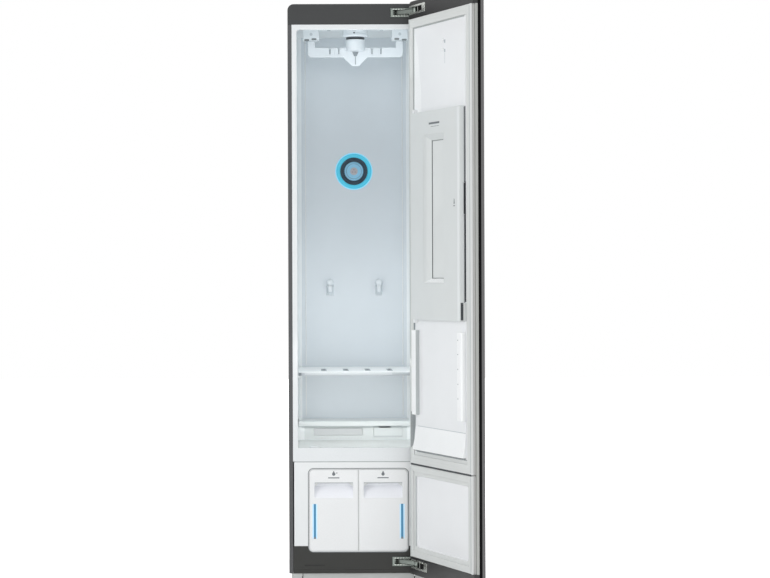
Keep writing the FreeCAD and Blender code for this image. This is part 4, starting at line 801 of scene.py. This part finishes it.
def make_hinge_boxes():
    left, right = HINGE_BOX
    rivets = Piece("hinge_box_rivets", "hinge_boxes", "hinge_bright", 0.25)
    flanges = Piece("hinge_box_flanges", "hinge_boxes", "hinge_steel", 0.2)
    embossed = Piece("hinge_box_embossing", "hinge_boxes", "hinge_bright", 0.3)
    stampings = Piece("hinge_box_stampings", "hinge_boxes", "hinge_steel", 0.3)
    for level in HINGE_LEVELS:
        rivets.box((left + 2.5, right - 3), (24, 44), (level - 11.6, level - 9.6))
        for x in (134, 151, 168):
            rivets.stud([(2.6, -2.6), (4.4, -1.4), (4.4, 0)], (x, 44.4, level + 3), "y")
        rivets.stud([(3, 15.4), (4.6, 14.9), (4.6, 14)], (*ARM_PIVOT, level), sides=24)
        for edge in (level - 13.8, level + 12.4):
            flanges.box((left - 0.5, right + 0.5), (-1.1, 0.4), (edge, edge + 1.4))
        for middle in (level - 10.75, level + 10.75):
            flanges.box((left + 1, right - 3), (0.3, 1.5), (middle - 1.85, middle + 1.85))
            for x in range(left + 7, left + 62, 9):
                embossed.box((x, x + 4.5), (-0.3, 0.4), (middle - 1, middle + 1))
        flanges.box((left + 0.6, left + 8), (0.3, 1.5), (level - 9, level + 9))
        for x in (130, 142, 154, 166):
            stampings.box((x, x + 3), (36, 44.4), (level - 11.6, level + 1))
        stampings.box((138, 176), (40, 44.4), (level + 6.4, level + 9))


def make_hinge_links():
    """Plates along the two arms, and the straps that the door's pins sit in."""
    start = Vector(JOINT["arm_swing"]["pos_m"])
    arm = (Vector(JOINT["door_swing"]["pos_m"]) - start) / MM
    reach = math.hypot(arm.x, arm.y)
    home = (Matrix.Translation((start.x, start.y, 0))
            @ Matrix.Rotation(math.atan2(arm.y, arm.x), 4, "Z") @ Matrix.Scale(MM, 4))
    plates = Piece("hinge_link_plates", "hinge_arms", "hinge_steel", 0.3, home=home)
    rivets = Piece("hinge_link_rivets", "hinge_arms", "hinge_shell", home=home)
    straps = Piece("hinge_strap_rivets", "door_hinge_brackets", "hinge_bright", 0.25)
    # black sheets in the straps' recesses: painted shade
    recess = Piece("hinge_strap_recess_shade", "door_hinge_brackets", "groove_painted_shade_black")
    for level in HINGE_LEVELS:
        outline = oval((reach / 2, 0), reach / 2 + 7.4, 7.4, 40)
        for low, high in ((6.7, 7.8), (-7.8, -6.7)):
            plates.prism(outline, "xy", level + low, level + high)
        for share in (0.28, 0.72):
            rivets.stud([(2.6, -8.3), (3.8, -7.9), (3.8, 7.9), (2.6, 8.3)],
                        (reach * share, 0, level))
        for x, rise in ((111, 0), (130, 11.5), (147, 11.5)):
            straps.stud([(1.6, 1.1), (2.3, 0.6), (2.3, 0)], (x, -2.5, level + rise), "y")
        straps.box((149, 152), (-4.9, -2.7), (level - 6.4, level + 6.4))
        recess.stud([(1.5, 0.3), (1.5, 0)], (111, -1.5, level), "y")
        recess.box((124, 147), (-4.9, -4.3), (level - 8.4, level + 8.4))


# ---------------------------------------------------------------- door
LINER_HINGE_EDGE = 215
INNER_PANEL, LINER_FACE = -1.0, -5.0
SUNK = 0.1  # how deep a thin layer reaches into the face that carries it
PEGS_ACROSS = 252


def across(w):
    """The closed door's x for a distance from the hinge edge of its liner."""
    return LINER_HINGE_EDGE - w


def span(near, far):
    return across(far), across(near)


def skin(face, proud=0.3):
    """The depths of a thin layer on a face of the door."""
    return face - SUNK, face + proud


def framed(solids, outer_w, outer_z, width, y):
    """A flat rectangular frame of one width."""
    outer = span(*outer_w)
    inner = (outer[0] + width, outer[1] - width)
    inner_z = (outer_z[0] + width, outer_z[1] - width)
    solids.loft([rectangle(outer, outer_z, y[0]), rectangle(outer, outer_z, y[1]),
                 rectangle(inner, inner_z, y[1]), rectangle(inner, inner_z, y[0])], closed=True)


def make_door_seals():
    # grey lines along the raised panel's hinge side and top: painted shade
    lines = Piece("door_panel_shade_lines", "door_gaskets", "groove_painted_shade", 0.1)
    lines.box(span(30.5, 41.8), skin(LINER_FACE, 0.5), (423.8, 1763))
    lines.box(span(42.4, 391), skin(INNER_PANEL), (1758.6, 1762.4))
    # a grey line along the lower panel's hinge side: painted shade
    soft = Piece("lower_panel_shade_line", "door_gaskets", "soft_painted_shade", 0.1)
    soft.box(span(33, 41.8), skin(LINER_FACE), (121, 344))
    apron = Piece("door_panel_apron", "door_gaskets", "gasket_grey", 0.1)
    apron.box(span(31, 399), skin(LINER_FACE), (411.6, 421))
    lips = Piece("door_gasket_lips", "door_gaskets", "gasket_grey", 0.35)
    for outer_w, outer_z, width, front in (((7, 423), (388.2, 1786.8), 2.2, -0.3),
                                           ((7, 423), (89.5, 374.5), 2.2, -0.3),
                                           ((17, 413), (398, 1777), 1.8, -0.45),
                                           ((14, 416), (96.5, 367.5), 1.8, -0.45)):
        framed(lips, outer_w, outer_z, width, (-1.2, front))
    # a dark band where the upper and lower gaskets meet: painted shade in the gap
    gasket_split_shade = Piece("door_split_shade", "door_gaskets", "slot_dark", 0.3)
    gasket_split_shade.box(span(1, 429), skin(LINER_FACE, 0.9), (377.2, 382.8))


def make_drip_ledge_details():
    # grey strips under the ledge: painted shadow
    shade = Piece("drip_ledge_shadow", "drip_ledge", "pocket_painted_shade", 0.1)
    shade.box(span(42.6, 391.5), skin(INNER_PANEL), (424.3, 428.7))
    shade.box(span(42.2, 399), skin(LINER_FACE), (421.2, 423.8))
    # a grey line along the ledge's crease: painted shade
    crease = Piece("drip_ledge_crease_shade", "drip_ledge", "plug_grey_and_painted_shade", 0.15)
    crease.box(span(60, 391), skin(INNER_PANEL, 0.35), (503.4, 505))
    ends = Piece("drip_ledge_ends", "drip_ledge", "rail_white", 0.3)
    for near, far in ((42.3, 43.8), (390.2, 391.7)):
        ends.prism([(INNER_PANEL, 502), (2.8, 462), (8.6, 435), (8.6, 429.2),
                    (INNER_PANEL, 429.2)], "yz", *span(near, far))


def make_door_panel_details():
    # a tapered band of brighter white on the panel near the hinge side: painted highlight
    panel_highlight = Piece("door_panel_highlight", "upper_door_liner", "rail_white", 0.2)
    panel_highlight.prism([(across(w), level) for w, level in
                   ((43.6, 1752), (70, 1690), (90, 1560), (92, 1492), (43.6, 1492))],
                  "xz", *skin(INNER_PANEL))
    # grey patches beside and under the pegs: painted shadows
    shadows_by_pegs = Piece("door_peg_shadows", "upper_door_liner", "plug_grey_and_painted_shade", 0.2)
    for level in (1698, 1669):
        shadows_by_pegs.box(span(PEGS_ACROSS + 3.5, PEGS_ACROSS + 11), skin(INNER_PANEL, 0.4),
                  (level - 5, level + 5))
    shadows_by_pegs.box(span(PEGS_ACROSS + 6.4, PEGS_ACROSS + 8), skin(INNER_PANEL, 0.4), (1630, 1662))
    pegs = Piece("door_pegs", "upper_door_liner", "rail_white", 0.3)
    for level in (1702, 1673):
        pegs.stud([(1.8, 5), (3, 3.8), (3, 0)], (across(PEGS_ACROSS), INNER_PANEL, level), "y")
    dots = Piece("rail_marks", "upper_door_liner", "clip_grey_and_painted_shade")
    for level in (784, 741, 696, 651, 607):
        dots.stud([(1.5, 0.5), (1.9, 0)], (across(368), 13, level), "y", 16)
    # the pocket at the hinge side is painted grey: painted shade in the recess
    pocket = Piece("hinge_side_pocket_shade", "upper_door_liner", "pocket_painted_shade", 0.3)
    pocket.prism([(across(w), level) for w, level in ((10, 432), (10, 545), (40, 545), (40, 448))],
                 "xz", *skin(INNER_PANEL, 0.5))
    # darker grey marks along the pocket's top and free-side edges and higher up: painted shade
    pocket_edge_shade = Piece("hinge_side_edge_shades", "upper_door_liner", "clip_grey_and_painted_shade", 0.3)
    for near, far, low, high in ((39, 41.5, 445, 546), (12, 41.5, 545, 547),
                                 (35, 41.5, 806, 842)):
        pocket_edge_shade.box(span(near, far), skin(INNER_PANEL, 0.9), (low, high))


FINGER_GAP = (1164, 1258)


def make_press_gap():
    """Painted shade in the gap between the door and the free edge of the press, and the catch
    in it.
    """
    faint_shade = Piece("press_gap_shade_upper", "door_gaskets", "gap_painted_shade")
    faint_shade.box(span(390.9, 392.3), (-3.4, INNER_PANEL + 0.2), (1262, 1489))
    shadow = Piece("press_gap_shade_lower", "door_gaskets", "slot_dark")
    shadow.box(span(390.6, 392.3), (-4, INNER_PANEL + 0.2), (899, 1262))
    shadow.box(span(385, 392.3), skin(INNER_PANEL, 0.25), FINGER_GAP)
    catch = Piece("press_catch", "upper_door_liner", "gasket_grey", 0.5)
    catch.box(span(390.7, 393.4), (LINER_FACE, 5), (842, 896))


# x and y of the light rim where the seal meets the door's edge
RIM_SECTION = ((210.5, -1.6), (213.5, -1.2), (215.5, -2.4), (215.5, -7.5), (214.8, -7.5),
               (214.8, -5), (210.5, -5))
# half width and levels of the bands on the sides of the black frame and the glass
OUTER_EDGE, OUTER_LEVELS = 222.2, (30, 1828)


def make_edge_strips():
    """Covers, grooves and bands along the two long edges of the door, with painted shade in the
    seams and in the black band.
    """
    rims = Piece("door_edge_rims", "door_gaskets", "rim_white", 0.3)
    # seams: grey lines along the liner's long edges, painted shade
    seams = Piece("door_edge_seam_shades", "door_gaskets", "soft_painted_shade", 0.1)
    covers = Piece("door_edge_covers", "door_edge_trims", "edge_cover", 0.2)
    grooves = Piece("door_edge_grooves", "door_edge_trims", "edge_groove")
    # a black band in the groove beside the glass: painted shade
    black = Piece("door_edge_groove_shade", "door_frame", "groove_painted_shade_black", 0.15)
    glass = Piece("door_edge_glass", "door_glass", "glass_edge", 0.15)
    for side in (-1, 1):
        for low, high in ((84.5, 378.5), (381.5, 1793.5)):
            rims.prism([(side * x, y) for x, y in RIM_SECTION], "xy", low, high)
            seams.box((side * 205.4, side * 210.3), (-1.2, -0.35), (low + 6, high - 6))
            covers.box((side * 214.8, side * 215.5), (-13.9, -8.6), (low, high))
        grooves.box((side * 214.8, side * 215.4), (-8.7, -7.4), (85, 1793))
        outside = (side * OUTER_EDGE, side * (OUTER_EDGE + 0.55))
        black.box(outside, (-32, -22.2), OUTER_LEVELS)
        glass.box(outside, (-42.6, -32.2), OUTER_LEVELS)


PRESS_FACE, WINDOW_BACK = 17.0, 2.2
WINDOW_OUTER = ((142.5, 284), (954.5, 1417))
WINDOW_FRONT = ((144, 282.6), (957, 1415.6))
WINDOW_INNER = ((178, 281), (969, 1398))
NEAR_FOOT, FAR_FOOT = 5.0, 2.8


def window_ring(window, y):
    widths, levels = window
    return rectangle(span(*widths), levels, y)


def make_press_window():
    """The funnel-shaped window of the press, with its sill and pad, and painted shade along
    its foot.
    """
    widths, levels = WINDOW_OUTER
    cutter = Solids()
    cutter.box(span(*widths), (WINDOW_BACK, PRESS_FACE + 2), levels)
    rounded_node("press_panel", 1.2, cutter=cutter)
    funnel = Piece("press_window_frame", "press_panel", "press_white", 0.5)
    foot = [(x, y, z) for (x, _, z), y in zip(window_ring(WINDOW_INNER, 0),
                                              (FAR_FOOT, NEAR_FOOT, NEAR_FOOT, FAR_FOOT))]
    funnel.loft([window_ring(WINDOW_OUTER, WINDOW_BACK + 0.1),
                 window_ring(WINDOW_OUTER, PRESS_FACE - 0.35),
                 window_ring(WINDOW_FRONT, PRESS_FACE - 0.35), foot,
                 [(x, WINDOW_BACK, z) for x, _, z in foot]], closed=True)
    (near, far), (low, high) = WINDOW_INNER
    (outer_near, outer_far), outer_low = WINDOW_FRONT[0], WINDOW_FRONT[1][0]
    # a dark strip at the foot of the funnel's near side and grey lines around its foot: painted shade
    groove = Piece("press_window_gap_shade", "press_panel", "gap_painted_shade")
    groove.box(span(near - 0.1, near + 0.5), (2.4, NEAR_FOOT - 0.2), (low, high))
    seal = Piece("press_window_edge_shades", "press_panel", "seal_line")
    framed(seal, (near + 0.6, far), (low, high), 2.6, (1.4, 2.3))
    sill = Piece("press_window_sill", "press_panel", "rail_white")
    slope = [(outer_near, PRESS_FACE - 0.6, outer_low), (outer_far, PRESS_FACE - 0.6, outer_low),
             (far, FAR_FOOT, low), (near, NEAR_FOOT, low)]
    sill.loft([[(across(w), y + lift, z + lift) for w, y, z in slope] for lift in (-0.4, 0.4)])
    pad = Piece("press_window_pad", "press_plate", "press_pad", 0.8)
    pad.box(span(near + 3, far - 1), (1.4, 3.4), (low + 2.8, high - 2.8))


def make_press_details():
    marks = Piece("press_marks", "press_panel", "print_grey")
    marks.box(span(183, 256), skin(PRESS_FACE, 0.25), (1446.5, 1452.5))
    marks.box(span(196, 252), skin(PRESS_FACE, 0.15), (1438.8, 1440))
    marks.prism([(across(w), level) for w, level in
                 ((358.5, 1196), (351.5, 1196), (353.8, 1212), (356.2, 1212))],
                "xz", *skin(PRESS_FACE, 0.2))
    marks.box(span(349, 361), skin(PRESS_FACE, 0.2), (1188.6, 1191))
    low, high = FINGER_GAP
    # dark strips along the press's free edge and in the finger gap: painted shade
    edge = Piece("press_edge_shade", "press_panel", "slot_dark", 0.2)
    for y, z in (((-0.65, 1.2), (897, low - 2)), ((-0.65, 1.2), (high + 2, 1487)),
                 ((5.3, 14), (844, 897))):
        edge.box(span(389.4, 390.3), y, z)
    edge.box(span(381.9, 382.6), (-0.6, 5.6), FINGER_GAP)
    lip = Piece("finger_gap_lip", "press_panel", "press_white", 0.3)
    lip.box(span(386, 390), (2.6, 5.9), (low - 0.6, high + 0.6))
    # a brighter strip along the press's free front edge: painted highlight
    corner = Piece("press_edge_shine", "press_panel", "press_edge", 0.4)
    corner.prism([(across(w), y) for w, y in
                  ((374, 16.9), (376.5, 17.3), (388, 17.3), (390.3, 15.9), (390.2, 14.2),
                   (389, 14.2), (388, 16.5), (374, 16.5))], "xy", 843, 1488)


# ---------------------------------------------------------------- back
def make_back_details():
    rear = (CABINET.inverted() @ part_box("back_cover")[1]).y
    screws = Piece("back_screws", "back_cover", "hinge_bright")
    places = [(side * 208, level) for side in (-1, 1) for level in range(60, 1841, 222)]
    places += [(side * 70, level) for side in (-1, 1) for level in (36, 1838)]
    for x, z in places:
        screws.lathe([(AXIS_GAP, -0.5), (AXIS_GAP, -0.05), (3.2, -0.05), (3.9, -0.5)],
                     (x, rear, z), "y", 20)
    beads = Piece("back_swage_lines", "back_cover", "galvanised")
    depths = (rear - 0.5, rear - 0.02)
    for x in ((-150, -148), (148, 150)):
        beads.box(x, depths, (470, 1760))
    for z in ((470, 472), (1115, 1117), (1758, 1760)):
        beads.box((-148, 148), depths, z)


# ---------------------------------------------------------------- nodes that keep their shape
PLAIN_NODES = ["door_foam", "control_board", "air_duct", "heat_pump_coils", "fan_housing",
               "circulation_fan", "fan_motor", "compressor", "steam_generator", "water_pumps",
               "hoses", "refrigerant_pipes", "hanger_motor", "base_pan", "hanger_crank"]
# how far the edges of the other nodes are rounded, in millimetres
ROUNDED_NODES = {
    "top_cover": 0.5, "back_cover": 0.4, "top_front_frame": 1.2, "front_trim": 0.9,
    "lower_front_panel": 1.0, "base_front_cover": 0.8, "tank_bay": 0.8, "kick_plate": 0.8,
    "levelling_feet": 0.8, "drain_tank_lid": 0.6, "fill_tank_lid": 0.6,
    "drain_level_window": 0.3, "fill_level_window": 0.3, "hinge_boxes": 0.5, "hinge_arms": 0.6,
    "door_hinge_brackets": 0.5, "door_glass": 0.8, "door_frame": 0.8, "door_edge_trims": 0.8,
    "upper_door_liner": 1.5, "door_gaskets": 1.2, "drip_ledge": 1.0, "press_plate": 0.4,
    "press_brackets": 0.8, "lint_filter": 0.6, "aroma_tray": 0.6, "hanger_bar": 1.2,
    "hanger_guides": 1.0, "drive_cover": 1.5, "mains_inlet": 0.5,
}
OTHER_FINISH = {"drip_ledge": "rail_white", "press_brackets": "door_white",
                "hanger_guides": "guide_white", "aroma_tray": "module_white",
                "top_front_frame": "top_graphite", "hinge_boxes": "hinge_shell",
                "door_hinge_brackets": "hinge_bright"}


def faces_up(place, normal):
    return normal.z > 0.9


def dress_nodes():
    for node in PLAIN_NODES:
        item = frame["nodes"][node]
        item.data.materials.clear()
        item.data.materials.append(MATERIALS[SLOT_OF[node]])
    for node, width in ROUNDED_NODES.items():
        rounded_node(node, width, OTHER_FINISH.get(node))
    # the back wall of the clothes space is painted darker: painted shade
    liner = repaint("inner_liner", 1.0, "back_wall_painted_shade",
                    lambda place, normal: normal.y < -0.9 and place.y > BACK_WALL - 2)
    # the floor in front of the module gets the press's greyer white: painted shade
    repaint_faces(liner, "press_white",
                  lambda place, normal: normal.z > 0.9 and place.z < 450, CABINET)
    # the ceiling is painted lighter: painted highlight
    repaint_faces(liner, "shelf_top",
                  lambda place, normal: normal.z < -0.9 and place.z > 1700, CABINET)
    # the side panels' front faces are painted lighter: painted highlight
    repaint("side_panels", 0.4, "case_flange", lambda place, normal: normal.y < -0.5)
    repaint("lower_door_liner", 1.5, "gasket_grey",
            lambda place, normal: normal.y > 0.9 and place.y > LINER_FACE - 1)
    # the free-side flank of the near rail is painted grey: painted shade
    repaint("trouser_rails", 1.0, "soft_painted_shade",
            lambda place, normal: normal.x < -0.7 and place.x > 0, "rail_white")
    # the tops of the shelf and of the module are painted lighter: painted highlight
    repaint("shelf", 0.8, "shelf_top", faces_up)
    repaint("module_housing", 1.2, "shelf_top", faces_up, "module_white")


make_camera()
make_studio()
dress_nodes()
for make in (make_light_ring, make_cavity_mouldings, make_wall_hooks, make_shelf_details,
             make_module_details, make_hanger_details, make_drive_and_guides, make_tank_details,
             make_lower_front_lines, make_hinge_boxes, make_hinge_links, make_door_seals,
             make_drip_ledge_details, make_door_panel_details, make_press_gap, make_edge_strips,
             make_press_window, make_press_details, make_back_details):
    make()
for piece in Piece.waiting:
    piece.make()

bpy.context.scene.view_settings.view_transform = "Standard"
